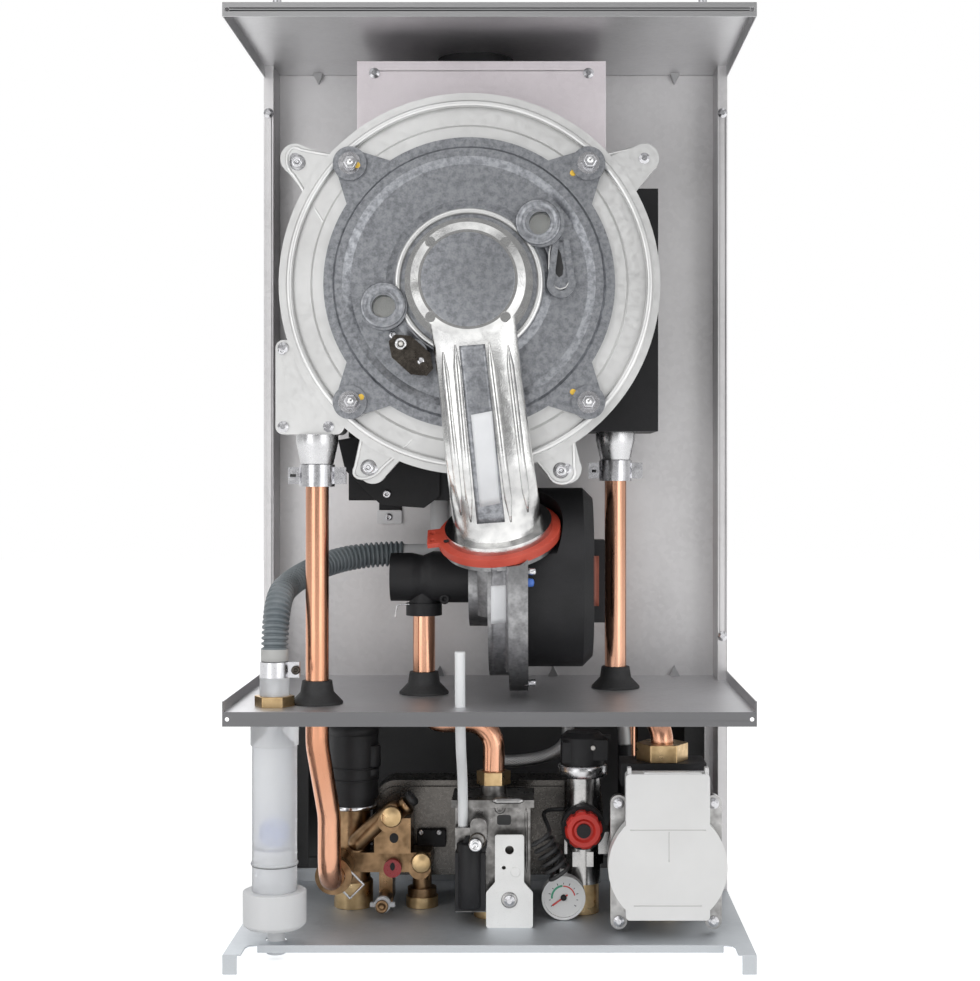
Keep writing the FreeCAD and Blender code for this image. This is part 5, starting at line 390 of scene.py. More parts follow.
def swept(name, route, resolution, radius, material, sides, crest=None, pitch=None, flat_crest=1.35,
          map_turns=3):
    """Tube along a smooth line through a route; a crest radius and a pitch make it ribbed."""
    line = smooth_line(name + "_line", route, resolution)
    radius *= MM
    rings = []
    run = 0.0
    up = None
    for number, point in enumerate(line):
        way = (line[min(number + 1, len(line) - 1)] - line[max(number - 1, 0)]).normalized()
        if up is None:
            up = way.orthogonal().normalized()
        up = (up - way * up.dot(way)).normalized()
        side = way.cross(up)
        run += (point - line[max(number - 1, 0)]).length
        size = radius
        if crest:
            wave = 0.5 - 0.5 * math.cos(2 * math.pi * run / (pitch * MM))
            size = radius + (crest * MM - radius) * min(1.0, flat_crest * wave)
        rings.append([point + (up * math.cos(angle) + side * math.sin(angle)) * size for angle in round_steps(sides)])
    mesh = skinned(name, rings)
    layer = mesh.uv_layers.new(name="UVMap")
    for face in mesh.polygons:
        for corner in face.loop_indices:
            ring, step = divmod(mesh.loops[corner].vertex_index, sides)
            layer.data[corner].uv = (run * ring / (len(rings) - 1) / (radius * 2), step / sides * map_turns)
    return keep(name, mesh, material)


TREES = {}


def tree_on(label):
    """Search tree of a node's faces, made once."""
    if label not in TREES:
        mesh = NODES[label].data
        TREES[label] = BVHTree.FromPolygons([v.co for v in mesh.vertices], [p.vertices for p in mesh.polygons])
    return TREES[label]


def sight(pixel):
    """Way of the view through a pixel, one metre deep."""
    return Vector(((pixel[0] - CENTRE_PX[0]) / FOCAL_PX, 1.0, (CENTRE_PX[1] - pixel[1]) / FOCAL_PX))


def hit(pixel, labels):
    """Place and outward normal where a pixel meets the first of some nodes."""
    way = sight(pixel).normalized()
    best = None
    for label in labels:
        place, normal, _, reach = tree_on(label).ray_cast(EYE, way)
        if place is not None and (best is None or reach < best[2]):
            best = (place, normal if normal.dot(way) < 0 else -normal, reach)
    if best is None:
        raise RuntimeError(f"pixel {pixel} misses {labels}")
    return best[:2]


def depth_of(pixel, labels):
    """Depth of the first of some nodes under a pixel."""
    return hit(pixel, labels)[0].y / MM


def at_depth(pixel, depth):
    """Point in metres where a pixel meets an upright plane at a depth."""
    return EYE + sight(pixel) * (depth * MM - EYE.y)


def limits(label):
    """Lowest and highest corner of a node."""
    corners = [vertex.co / MM for vertex in NODES[label].data.vertices]
    return (Vector([min(c[axis] for c in corners) for axis in range(3)]),
            Vector([max(c[axis] for c in corners) for axis in range(3)]))


def front_of(label, sunk=0):
    """Middle of a node at its front, or behind that."""
    low, high = limits(label)
    return (low.x + high.x) / 2, low.y + sunk, (low.z + high.z) / 2


def thickened(made, thick):
    """Sheet given a thickness by a modifier."""
    made.modifiers.new("thick", "SOLIDIFY").thickness = thick * MM


def patch(name, corners, labels, material, lift, steps):
    """Thin sheet laid on a node inside four corners in pixels, cut in columns and rows."""
    columns, rows = steps
    points = []
    for row in range(rows + 1):
        v = row / rows
        for column in range(columns + 1):
            u = column / columns
            pixel = [(a * (1 - u) + b * u) * (1 - v) + (d * (1 - u) + c * u) * v for a, b, c, d in zip(*corners)]
            place, normal = hit(pixel, labels)
            points.append(place + normal * lift * MM)
    width = columns + 1
    faces = [(r * width + c, (r + 1) * width + c, (r + 1) * width + c + 1, r * width + c + 1)
             for r in range(rows) for c in range(columns)]
    mesh = bpy.data.meshes.new(name)
    mesh.from_pydata(points, [], faces)
    mesh.update()
    thickened(keep(name, smoothed(mesh), material), lift)


def blot(name, centre, radii, labels, material, sides, lift=0.2):
    """Thin oval laid on a node around a pixel, such as painted shade in a hole."""
    edge = [(centre[0] + radii[0] * math.cos(angle), centre[1] + radii[1] * math.sin(angle))
            for angle in round_steps(sides)]
    points = [place + normal * lift * MM for place, normal in (hit(pixel, labels) for pixel in (centre, *edge))]
    mesh = bpy.data.meshes.new(name)
    mesh.from_pydata(points, [], [(0, step + 1, (step + 1) % sides + 1) for step in range(sides)])
    mesh.update()
    thickened(keep(name, mesh, material), lift)


def bead(name, line, labels, radius, material, steps=24, sides=12, sunk=0.3, tip=0.25, taper=6):
    """Raised rib on a node along a straight line in pixels, tapered at both ends."""
    start, end = line
    places = []
    for number in range(steps + 1):
        share = number / steps
        places.append(hit([start[axis] * (1 - share) + end[axis] * share for axis in (0, 1)], labels))
    rings = []
    for number, (place, normal) in enumerate(places):
        way = (places[min(number + 1, steps)][0] - places[max(number - 1, 0)][0]).normalized()
        side = way.cross(normal).normalized()
        out = side.cross(way).normalized()
        share = number / steps
        size = radius * MM * min(1.0, tip + taper * min(share, 1 - share))
        centre = place - out * size * sunk
        rings.append([centre + (out * math.cos(a) + side * math.sin(a)) * size for a in round_steps(sides)])
    keep(name, skinned(name, rings), material)


def rounded(x0, y0, x1, y1, corner, steps=4):
    """Outline of a rounded rectangle in pixels."""
    points = []
    for cx, cy, start in ((x1 - corner, y1 - corner, 0), (x0 + corner, y1 - corner, 90),
                          (x0 + corner, y0 + corner, 180), (x1 - corner, y0 + corner, 270)):
        for step in range(steps + 1):
            angle = math.radians(start + 90 * step / steps)
            points.append((cx + corner * math.cos(angle), cy + corner * math.sin(angle)))
    return points


def panel(name, outline, depth, thick, bevel, material):
    """Upright plate with an outline in pixels; its front is at a depth and its back a thickness behind."""
    front = [at_depth(pixel, depth) for pixel in outline]
    back = [point + Vector((0, thick * MM, 0)) for point in front]
    keep(name, skinned(name, (back, front), smooth=False), material, bevel=bevel)


def wire(name, points, radius, material, sides=10):
    """Bent wire of straight runs with rounded joints, through points in metres."""
    radius *= MM
    bm = bmesh.new()
    for first, last in zip(points, points[1:]):
        way = last - first
        turn = Matrix.Translation((first + last) / 2) @ facing(way.normalized())
        bmesh.ops.create_cone(bm, segments=sides, radius1=radius, radius2=radius, depth=way.length, matrix=turn)
    for point in points:
        bmesh.ops.create_icosphere(bm, subdivisions=2, radius=radius, matrix=Matrix.Translation(point))
    mesh = bpy.data.meshes.new(name)
    bm.to_mesh(mesh)
    bm.free()
    keep(name, smoothed(mesh), material)


# Profiles of the turned pieces: radius and height
PROFILES = {
    "hose_cuff": ((9.7, 0), (10.5, 0.7), (10.5, 9.2), (9.8, 10), (8.4, 10)),
    "paint_dot": ((2.6, -0.2), (2.2, 0.25), (1.2, 0.45)),
    "sight_trim": ((17.4, -0.6), (17.4, 0.5), (16.6, 1.2), (14.2, 1.2), (13.4, 0.3), (11.2, 0.3), (10.6, 0.9),
                   (9.6, 0.9), (9.2, -1.5)),
    "electrode_sleeve": ((4.6, -2), (4.6, 3), (4, 3.8), (2.9, 3.8), (2.4, 0.4), (0.4, 0.3)),
    "electrode_ceramic": ((1.7, -1), (1.7, 2.6), (1.2, 3), (0.3, 3)),
    "door_nut": ((5.4, -1), (5.4, 3.2), (4.7, 4), (2.9, 4.1)),
    "door_stud": ((2.7, 3), (2.7, 5.6), (2.1, 6.4), (0.3, 6.5)),
    "dome_collar": ((57.2, -1), (56.8, 1.2), (55.6, 2.2), (53.6, 2.2), (52.4, 1), (52, -1)),
    "dome_face": ((35.5, -0.6), (35.5, 0.1), (34.9, 0.2), (0.5, 0.2)),
    "ring_rim": ((141.6, -0.6), (141.3, 1.2), (140.2, 2.2), (138.8, 2.4), (137.4, 2), (136.6, 0.8), (136.4, -0.8)),
    "ear_screw": ((6.2, -0.5), (6.2, 0.8), (4.6, 1), (4.4, 3.4), (3.6, 4.2), (2, 4.2), (1.6, 2.4), (0.3, 2.3)),
    "skirt_screw": ((3.4, -1), (3.4, 1.6), (2.6, 2.4), (1.4, 2.5), (1, 1.2)),
    "foot_screw": ((3.2, -1), (3.2, 1.4), (2.4, 2.2), (1.3, 2.3), (0.9, 1)),
    "charging_valve": ((7.5, -1), (7.5, 1.6), (5.2, 2.4), (5.2, 8), (4.4, 8.8), (0.5, 9)),
    "fan_bolt": ((2.7, -3), (2.7, 5.2), (2.2, 6), (0.7, 6)),
    "blue_plug": ((3, -3), (3.2, 0.4), (3.2, 3), (2.4, 4.4), (0.5, 4.8)),
    "mixer_boss": ((4.2, -4), (4.2, 3), (3.2, 3.8), (1.8, 3.6), (1.4, 1.6), (0.3, 1.5)),
    "clamp_screw": ((3.4, -1), (3.4, 2.4), (2.6, 3.2), (1.6, 3.2), (1.2, 1.6), (0.3, 1.5)),
    "trap_seal": ((17, 0), (17.7, 0.2), (17.7, 1), (17, 1.2)),
    "dial_hub": ((2.4, -1.5), (2.4, 1.6), (1.8, 2.2), (0.3, 2.3)),
    "knob_centre": ((6.2, -5), (6.2, 0), (5.4, 0.9), (0.4, 1.2)),
    "switch_ring": ((14, 0), (18.4, 0), (20, 1), (20, 9), (19.2, 10), (18.2, 10.2)),
    "switch_pin": ((1.9, -1), (1.9, 0.8), (1.2, 1.4), (0.3, 1.5)),
    "stay_pad": ((4, -0.4), (4, 0.3), (3.6, 0.5), (2.8, 0.4), (0.3, 0.5)),
    "stay_screw": ((6.4, -0.4), (6.4, 0.6), (5.4, 1), (4.2, 0.9), (3.4, 0.5), (2.4, 0.4), (1.9, -2)),
    "valve_turret_ring": ((6.6, -1), (6.6, 1.2), (6, 1.8), (5.6, 1.8), (5.4, 0.6)),
    "valve_tip": ((5.4, -1), (5.4, 3), (4.6, 4.2), (2.4, 4.4), (2, 3.4), (0.4, 3.2)),
    "valve_plug": ((4.4, -3), (4.4, 1.5), (3.6, 2.2), (2.6, 2.2), (2.2, 1.2), (0.3, 1.1)),
    "side_plug": ((6.6, -6), (6.6, 5), (7.6, 5.2), (7.6, 9.5), (6.8, 10.2), (0.5, 10.4)),
    "side_plug_seal": ((6.4, 0), (6.4, 3.2), (5.6, 4.2), (0.5, 4.4)),
    "drain_nipple": ((4.6, -1), (4.6, 3.4), (5.2, 3.6), (5.2, 5.4), (4.4, 6), (3, 6), (2.7, 3), (0.3, 2.8)),
    "wire_block_screw": ((2.2, -0.5), (2.2, 0.6), (1.6, 1), (0.8, 1), (0.5, 0.4)),
}


def turned(name, at, axis, material, **more):
    """Turned piece with the profile kept under its name, less its number."""
    return lathe(name, PROFILES[name.rstrip("_0123456789")], at, axis, material, **more)


# Hoses, tube and capillary: smooth lines through the routes of the solids, with resolution and radius
HOSE_ROUTE = ((-75, -5, 308), (-120, -5, 308), (-162, -60, 289.5), (-166, -119, 274.5), (-166, -119, 230.5))
TUBE_ROUTE = ((-23.4, -125, 238.5), (-23.4, -125, 172.5), (-23.3, -70, 130), (-23.3, -70, 94))
FILL_ROUTE = ((7, 21, 131), (62, 21, 131), (62, 21, 183), (110, 21, 183), (110, 21, 145))
COIL_FOOT = Vector((54, -76, 57))
COIL_WAY = Vector((-16, 0, 30)).normalized()
COIL_ACROSS = Vector((30, 0, 16)).normalized()
COIL_RADIUS = 8.7
COIL_PITCH = 6.2
COIL_TURNS = 5.5
COIL_STEPS = 14
coil_points = []
for number in range(int(COIL_TURNS * COIL_STEPS) + 1):
    angle = math.pi + 2 * math.pi * number / COIL_STEPS
    coil_points.append(COIL_FOOT + COIL_WAY * COIL_PITCH * number / COIL_STEPS
                       + COIL_ACROSS * COIL_RADIUS * math.cos(angle) + Vector((0, COIL_RADIUS * math.sin(angle), 0)))
CAPILLARY_ROUTE = ((57, -48, 55.8), (57, -48, 62), (54.5, -50.5, 65.5), (51.5, -54, 60), (48.5, -60, 54.5),
                   (46.8, -68, 52.4), *coil_points, (45, -68, 92), (44, -58, 93.2), (42, -46, 95), (40.5, -35, 97),
                   (43.5, -27, 98.6), (51, -25, 99), (58, -25, 99))
hose = swept("ribbed_condensate_hose", HOSE_ROUTE, 160, 8.3, HOSE_PLASTIC, sides=28, crest=10.4, pitch=4.1)
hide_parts("condensate_hose")
tube = swept("soft_compensation_tube", TUBE_ROUTE, 40, 4, TUBE_PLASTIC, sides=24)
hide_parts("compensation_tube")
fill = swept("braided_filling_hose", FILL_ROUTE, 40, 5.2, BRAID, sides=24)
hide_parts("filling_hose")
capillary = swept("capillary_coil", CAPILLARY_ROUTE, 8, 1.6, BLACK_RUBBER, sides=12)
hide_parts("gauge_capillary")

# Nodes that carry pieces, and depths of fronts: pixel, nodes, and how far the front stands before them
DOOR = ("burner_door",)
ELECTRODE = ("ignition_electrode", "burner_door")
SHELL = ("exchanger_shell",)
DUCT = ("premix_duct",)
FAN = ("fan_housing", "fan_motor", "gas_air_mixer")
COVER = ("pump_cover",)
VALVE = ("gas_valve", "gas_valve_coil", "valve_stay")
BRASS_GROUP = ("diverter_body",)
FRONTS = {
    "collar": ((540, 300), DOOR, 0), "loop": ((560, 285), DOOR, 2.6), "loop_slot": ((560, 285), DOOR, 2.75),
    "dome": ((467, 279), DUCT, 0), "skirt": ((400, 480), SHELL, 3), "foot": ((390, 509), SHELL, 1.2),
    "cover_ear": ((668, 800), COVER, -3), "cover_bar": ((668, 800), COVER, -2),
    "stay": ((520, 910), ("valve_stay",), 0), "turret": ((477, 835), VALVE, 6), "plug": ((500, 808), VALVE, 0),
    "window": ((504, 820), VALVE, 0.4), "block": ((430, 838), ("plate_exchanger",), 7),
    "arm": ((394, 825), BRASS_GROUP, -9), "hook": ((414, 604), ("gas_air_mixer",), -4),
}
DEPTHS = {name: depth_of(pixel, labels) - before for name, (pixel, labels, before) in FRONTS.items()}
DEPTHS.update(switch=-41, switch_body=-40, switch_cap=-36, prong_0=-34, prong_1=-30)

# Turned pieces seated on a node: name, pixel, nodes, material
SEATED = (
    ("electrode_sleeve", (401, 344), ELECTRODE, CHROME), ("electrode_ceramic", (401, 344), ELECTRODE, CERAMIC),
    ("mixer_boss", (444.8, 598.8), FAN, BLACK_PLASTIC), ("clamp_screw", (296, 670), ("pipe_clips",), DARK_STEEL),
    ("stay_pad", (515.5, 872), ("valve_stay",), STAY_PAINT),
)
for name, pixel, labels, material in SEATED:
    turned(name, hit(pixel, labels)[0], FRONT, material)
PAINT_DOTS = ((357, 165), (573, 173), (361, 397), (573, 392))
for number, pixel in enumerate(PAINT_DOTS):
    turned(f"paint_dot_{number}", *hit(pixel, ("burner_door", "door_nuts", "exchanger_ring")), YELLOW_PAINT, sides=14)
BRASS_PLUGS = (((391.5, 816.5), 8.6), ((421.5, 862.5), 8.2))
for number, (pixel, radius) in enumerate(BRASS_PLUGS):
    profile = ((radius, -2), (radius, 2.6), (radius - 0.7, 3.3), (radius * 0.9, 3.4), (0.5, 3.4))
    lathe(f"brass_plug_{number}", profile, hit(pixel, BRASS_GROUP)[0], FRONT, BRASS_FACE)

# Screw heads: name, pixels, nodes, radius; the profile is in shares of the radius, above a sunk foot
HEAD_FOOT = -0.5
HEAD_SHARES = ((1, 0.3), (0.85, 0.55), (0.5, 0.68), (0.42, 0.68), (0.3, 0.2), (0.12, 0.18))
SCREWS = (
    ("electrode_screw", ((392.6, 335), (421, 361)), ELECTRODE, 3),
    ("header_screw", ((282, 351), (282, 428), (351, 441)), ("exchanger_ring", "exchanger_shell"), 3.2),
    ("pump_screw", ((619.5, 802.7), (713.5, 803)), ("pump_motor", "pump_cover", "pump_casing"), 4.6),
)
for name, pixels, labels, radius in SCREWS:
    profile = ((radius, HEAD_FOOT), *((radius * across, radius * height) for across, height in HEAD_SHARES))
    for number, pixel in enumerate(pixels):
        lathe(f"{name}_{number}", profile, hit(pixel, labels)[0], FRONT, BRIGHT_ZINC, sides=24)

# Turned pieces that face the front at a pixel and a depth: name, pixel, depth, material and other settings
FACED = (
    ("skirt_screw", (387, 494), "skirt", BRIGHT_ZINC),
    ("foot_screw", (388.7, 517), "foot", BRIGHT_ZINC),
    ("switch_pin", (593, 748), "switch", CERAMIC),
    ("stay_screw", (509.4, 900), "stay", NICKEL),
    ("valve_turret_ring", (477.5, 841), "turret", DARK_STEEL, {"hollow": True}),
    ("valve_tip", (475.5, 844.5), "turret", CHROME),
    ("valve_plug", (500, 808), "plug", VALVE_ALUMINIUM),
    ("wire_block_screw_0", (421, 832.5), "block", STEEL),
    ("wire_block_screw_1", (439, 832.5), "block", STEEL),
)
for name, pixel, depth, material, *more in FACED:
    turned(name, at_depth(pixel, DEPTHS[depth]), FRONT, material, **dict(*more))
SIGHTS = ((538, 222), (383, 305))
SIGHT_RIM_PX = 18
for number, (px, py) in enumerate(SIGHTS):
    seat = at_depth((px, py), depth_of((px + SIGHT_RIM_PX, py), DOOR))
    turned(f"sight_trim_{number}", seat, FRONT, DOOR_ALUMINIUM, hollow=True)
DOOR_NUTS = ((350.5, 162.7), (590, 161), (351, 401), (588.4, 401.6))
for number, pixel in enumerate(DOOR_NUTS):
    seat = at_depth(pixel, depth_of(pixel, ("door_nuts", "burner_door")))
    turned(f"door_nut_{number}", seat, FRONT, BRIGHT_ZINC, corners=6, bevel=0.3)
    turned(f"door_stud_{number}", seat, FRONT, CHROME, slot="bright_zinc")
SIDE_PLUG_AXIS = (0.75, -0.1, 0.62)
turned("side_plug", at_depth((399, 811), DEPTHS["arm"]), SIDE_PLUG_AXIS, BRASS)
turned("side_plug_seal", at_depth((410, 800), DEPTHS["arm"]), SIDE_PLUG_AXIS, BLACK_RUBBER)

# Expansion vessel on the rear: rolled seam, bare plate and charging valve
SEAM_EDGE = ((-1, -4), (1.6, -3.4), (2.2, -2), (2.2, 2), (1.6, 3.4), (-1, 4))
VESSEL_PLATE = ((-52, 34), (52, 34), (52, 82), (-52, 82))
PLATE_HALF = 0.3
CHARGING_DROP = 30
vessel_low, vessel_high = limits("expansion_vessel")
vessel_radius = (vessel_high.x - vessel_low.x) / 2
vessel_x = (vessel_high.x + vessel_low.x) / 2
vessel_z = vessel_high.z - vessel_radius
seam_place = Vector((vessel_x, (vessel_low.y + vessel_high.y) / 2, vessel_z)) * MM
lathe("vessel_seam", [(vessel_radius + out, height) for out, height in SEAM_EDGE], seam_place, REAR, VESSEL_PAINT,
      sides=96, hollow=True)
plate("vessel_plate", [(vessel_x + x, vessel_z + z) for x, z in VESSEL_PLATE], vessel_high.y - PLATE_HALF,
      vessel_high.y + PLATE_HALF, LABEL, bevel=0.2)

# Lower edge of the wall frame
SILL_DROP = 12
SILL_LAP = 1
SILL_BACKS = (2.5, 1)
low, high = limits("wall_frame")
sill = ((low.x, low.z - SILL_DROP), (high.x, low.z - SILL_DROP), (high.x, low.z + SILL_LAP), (low.x, low.z + SILL_LAP))
plate("frame_sill", sill, *(high.y - back for back in SILL_BACKS), BLACK_PAINT_AND_SHADE)

# Turned pieces on the axes of the solids: name, place, axis, material and other settings
EXCHANGER_X, EXCHANGER_Z = -16.5, 521
DIAL = Vector((57, -52.72, 33.2))
KNOB_SUNK = 3
FAN_EDGE_PX, FAN_EDGE_DEPTH = (528, 600), -128
fan_edge = at_depth(FAN_EDGE_PX, FAN_EDGE_DEPTH).x / MM
ring_front = limits("exchanger_ring")[0].y
CENTRED = (
    ("hose_cuff", HOSE_ROUTE[-1], UP, GREY_PLASTIC, {"hollow": True}),
    ("dome_collar", (EXCHANGER_X, DEPTHS["collar"], EXCHANGER_Z), FRONT, RING_ALUMINIUM,
     {"sides": 96, "hollow": True, "slot": "cast_aluminium"}),
    ("dome_face", (EXCHANGER_X, DEPTHS["dome"], EXCHANGER_Z), FRONT, DOOR_ALUMINIUM, {"sides": 64}),
    ("ring_rim", (EXCHANGER_X, ring_front, EXCHANGER_Z), FRONT, RING_ALUMINIUM, {"sides": 160, "hollow": True}),
    ("charging_valve", (vessel_x, vessel_high.y, vessel_z - CHARGING_DROP), REAR, BLACK_RUBBER),
    ("fan_bolt_0", (fan_edge, FAN_EDGE_DEPTH, 300), RIGHT, BRIGHT_ZINC),
    ("fan_bolt_1", (fan_edge, -80, 209.5), RIGHT, BRIGHT_ZINC),
    ("fan_bolt_2", (fan_edge, -80, 368), RIGHT, BRIGHT_ZINC),
    ("blue_plug", (fan_edge, -127, 291.5), RIGHT, BLUE_PLASTIC),
    ("trap_seal", (-166, -119, 74.4), UP, BLACK_RUBBER, {"hollow": True}),
    ("dial_hub", DIAL, FRONT, BLACK_PLASTIC),
    ("knob_centre", front_of("relief_knob", KNOB_SUNK), FRONT, BLACK_PLASTIC),
    ("switch_ring", (73, -25, 126.6), UP, STEEL, {"hollow": True}),
    ("drain_nipple", front_of("drain_knob"), FRONT, BRASS, {"body": "drain"}),
)
for name, place, axis, material, *more in CENTRED:
    turned(name, Vector(place) * MM, axis, material, **dict(*more))

# Barrel of the gas valve coil
low, high = limits("gas_valve_coil")
barrel = ((9.5, low.z + 2), (10.5, low.z + 3), (10.5, high.z - 9), (9.5, high.z - 8))
BARREL_SHIFT, BARREL_DEPTH = -1, 7.5
barrel_place = Vector(((low.x + high.x) / 2 + BARREL_SHIFT, low.y + BARREL_DEPTH, 0)) * MM
lathe("coil_barrel", barrel, barrel_place, UP, BLACK_PLASTIC)

# Actuator of the diverter: bands, side lugs and steel clip ring
BANDS = ((158, 167), (130, 132.5), (120, 122.5))
BAND_SUNK, BAND_PROUD, BAND_EDGE = 1, 0.7, 0.4
LUGS = ((132, 150, 2.6), (124, 131, 1.4))
LUG_RADIUS, LUG_TIP, LUG_EDGE, LUG_FORWARD = 7.6, 7, 1, 6
RING_BORE, RING_DROP = 10, 3.4
low, high = limits("diverter_motor")
middle = (low + high) / 2
girth = (high.x - low.x) / 2
for number, (z0, z1) in enumerate(BANDS):
    profile = ((girth - BAND_SUNK, z0), (girth + BAND_PROUD, z0 + BAND_EDGE), (girth + BAND_PROUD, z1 - BAND_EDGE),
               (girth - BAND_SUNK, z1))
    lathe(f"actuator_band_{number}", profile, Vector((middle.x, middle.y, 0)) * MM, UP, BLACK_PLASTIC, hollow=True)
for number, (z0, z1, reach) in enumerate(LUGS):
    profile = ((LUG_TIP, z0), (LUG_RADIUS, z0 + LUG_EDGE), (LUG_RADIUS, z1 - LUG_EDGE), (LUG_TIP, z1))
    place = Vector((high.x - LUG_RADIUS + reach, middle.y - LUG_FORWARD, 0)) * MM
    lathe(f"actuator_lug_{number}", profile, place, UP, BLACK_PLASTIC)
ring = ((RING_BORE, 0), (girth - 2, 0), (girth - 1.2, 0.6), (girth - 1.2, 3), (girth - 2, 3.6), (RING_BORE, 3.6))
lathe("actuator_ring", ring, Vector((middle.x, middle.y, low.z - RING_DROP)) * MM, UP, CHROME, hollow=True)

# Upright plates: name, outline in pixels, depth, thickness, bevel, material
LOOP = ((552, 240), (549.5, 252), (549, 268), (550.5, 280), (554.5, 287), (560, 289.5), (566, 287.5), (570.5, 280),
        (572, 268), (569.5, 254), (564, 241))
LOOP_SLOT_SHADE = ((556.5, 250), (554.8, 262), (556, 274), (559, 277.5), (562.5, 275), (563.5, 268), (561, 254), (558.6, 249))
SKIRT = ((338, 440), (345, 470), (366, 491), (381, 505), (424, 508), (440, 496), (440, 450), (360, 436))
PANELS = (
    ("loop_pad", LOOP, "loop", 5, 1, DOOR_ALUMINIUM),
    # The slot of the loop pad is a dark sheet: painted shade in the slot.
    ("loop_slot", LOOP_SLOT_SHADE, "loop_slot", 1, 0.05, BLACK_PAINT_AND_SHADE),
    ("shell_skirt", SKIRT, "skirt", 5, 0.4, BLACK_PLASTIC),
    ("foot_tab", rounded(377, 510, 402, 524, 2), "foot", 1.5, 0.2, GALVANISED),
    ("switch_socket", rounded(583, 740, 608, 761, 1.5), "switch", 26, 0.8, BLACK_PLASTIC),
    ("switch_body", rounded(562, 742, 584, 764, 2), "switch_body", 28, 1, BLACK_PLASTIC),
    ("switch_cap", rounded(572, 733, 588, 743, 2), "switch_cap", 22, 0.8, BLACK_PLASTIC),
    ("switch_prong_0", rounded(594, 735.5, 598, 740.5, 1), "prong_0", 6, 0.3, BLACK_PLASTIC),
    ("switch_prong_1", rounded(601, 735.5, 611, 740.5, 1), "prong_1", 6, 0.3, BLACK_PLASTIC),
    ("cover_ear_0", rounded(627.5, 768, 631.5, 780, 1), "cover_ear", 8, 0.4, WHITE_PLASTIC),
    ("cover_ear_1", rounded(705, 768, 709, 780, 1), "cover_ear", 8, 0.4, WHITE_PLASTIC),
    ("cover_bar", rounded(644, 772.5, 702, 777, 1), "cover_bar", 8, 0.4, WHITE_PLASTIC),
    ("valve_turret", rounded(470, 818, 487, 845, 7), "turret", 8, 0.8, VALVE_ALUMINIUM),
    ("valve_window", rounded(497, 815, 511, 825, 2.5), "window", 2, 0.2, BLACK_PAINT_AND_SHADE),
    ("wire_block", rounded(417, 830, 446, 847, 2), "block", 8, 0.6, BLACK_PLASTIC),
)
for name, outline, front, *row in PANELS:
    panel(name, outline, DEPTHS[front], *row)

# Ears of the exchanger ring: middle and radius of the round end, and the roots of its two flanks, in pixels
EARS = (
    ((297.5, 162.5), 13, ((326, 226), (345, 158))), ((643, 160), 13, ((603, 156), (614, 226))),
    ((368.5, 467.5), 13, ((412, 440), (362, 436))), ((561, 470.5), 13.5, ((573, 432), (524, 446))),
)
EAR_LIFT, EAR_THICK, EAR_BEVEL, EAR_RIM, EAR_STEPS = 1, 6, 0.8, 1.3, 10
for number, (centre, radius, roots) in enumerate(EARS):
    name = f"ring_ear_{number}"
    depth = depth_of(centre, ("exchanger_ring",)) - EAR_LIFT
    middle = Vector((*centre, 0))
    first, last = (Vector((*root, 0)) for root in roots)
    across = (last - first).normalized()
    away = (middle - (first + last) / 2).normalized()
    arc = [middle + (-across * math.cos(turn) + away * math.sin(turn)) * radius
           for turn in (math.pi * step / EAR_STEPS for step in range(EAR_STEPS + 1))]
    outline = [(point.x, point.y) for point in (first, *arc, last)]
    panel(name, outline, depth, EAR_THICK, EAR_BEVEL, RING_ALUMINIUM)
    wire(name + "_rim", [at_depth(pixel, depth) for pixel in outline], EAR_RIM, RING_ALUMINIUM)
    lathe(name + "_screw", PROFILES["ear_screw"], at_depth(centre, depth), FRONT, BRIGHT_ZINC)

# Thin sheets laid on the solids: name, corners in pixels, nodes, material, lift, columns and rows
PATCHES = (
    ("duct_band", ((459, 346), (485, 344), (505, 522), (477, 524)), DUCT, DOOR_ALUMINIUM, 0.12, (8, 30)),
    ("duct_label", ((471, 415), (492, 411), (500, 503), (480, 507)), DUCT, LABEL, 0.3, (6, 12)),
    # Painted shade: the volute's face is covered by a darker aluminium sheet.
    ("volute_face", ((491, 564), (509, 564), (509, 672), (492, 672)), FAN, VOLUTE_SHADE_ALUMINIUM, 0.15, (6, 30)),
    ("fan_label", ((491, 586), (508, 585), (508, 622), (491, 624)), FAN, LABEL, 0.25, (4, 8)),
    ("plug_strip", ((594, 556), (599, 556), (599, 606), (594, 606)), FAN, RUST_PLASTIC, 0.25, (2, 6)),
    ("cover_seam_high", ((630, 829.6), (706, 829.6), (706, 830.7), (630, 830.7)), COVER, SEAM, 0.12, (10, 2)),
    ("cover_seam_low", ((634, 905.4), (702, 905.4), (702, 906.5), (634, 906.5)), COVER, SEAM, 0.12, (10, 2)),
    ("cover_seam_middle", ((668.6, 832), (669.5, 832), (669.5, 862), (668.6, 862)), COVER, SEAM, 0.12, (2, 8)),
)
for row in PATCHES:
    patch(*row)
# Painted shade: dark sheets over the slots of the pipe clips' ears, where shade falls inside the folded clip.
CLIP_SLOT_SHADES = ((294, 475.5), (594, 471))
CLIP_HALF_PX = ((-4, -1.4), (4, -1.4), (4, 1.4), (-4, 1.4))
for number, (px, py) in enumerate(CLIP_SLOT_SHADES):
    corners = [(px + x, py + y) for x, y in CLIP_HALF_PX]
    patch(f"clip_slot_shade_{number}", corners, ("pipe_clips",), BLACK_PAINT_AND_SHADE, 0.12, (4, 1))

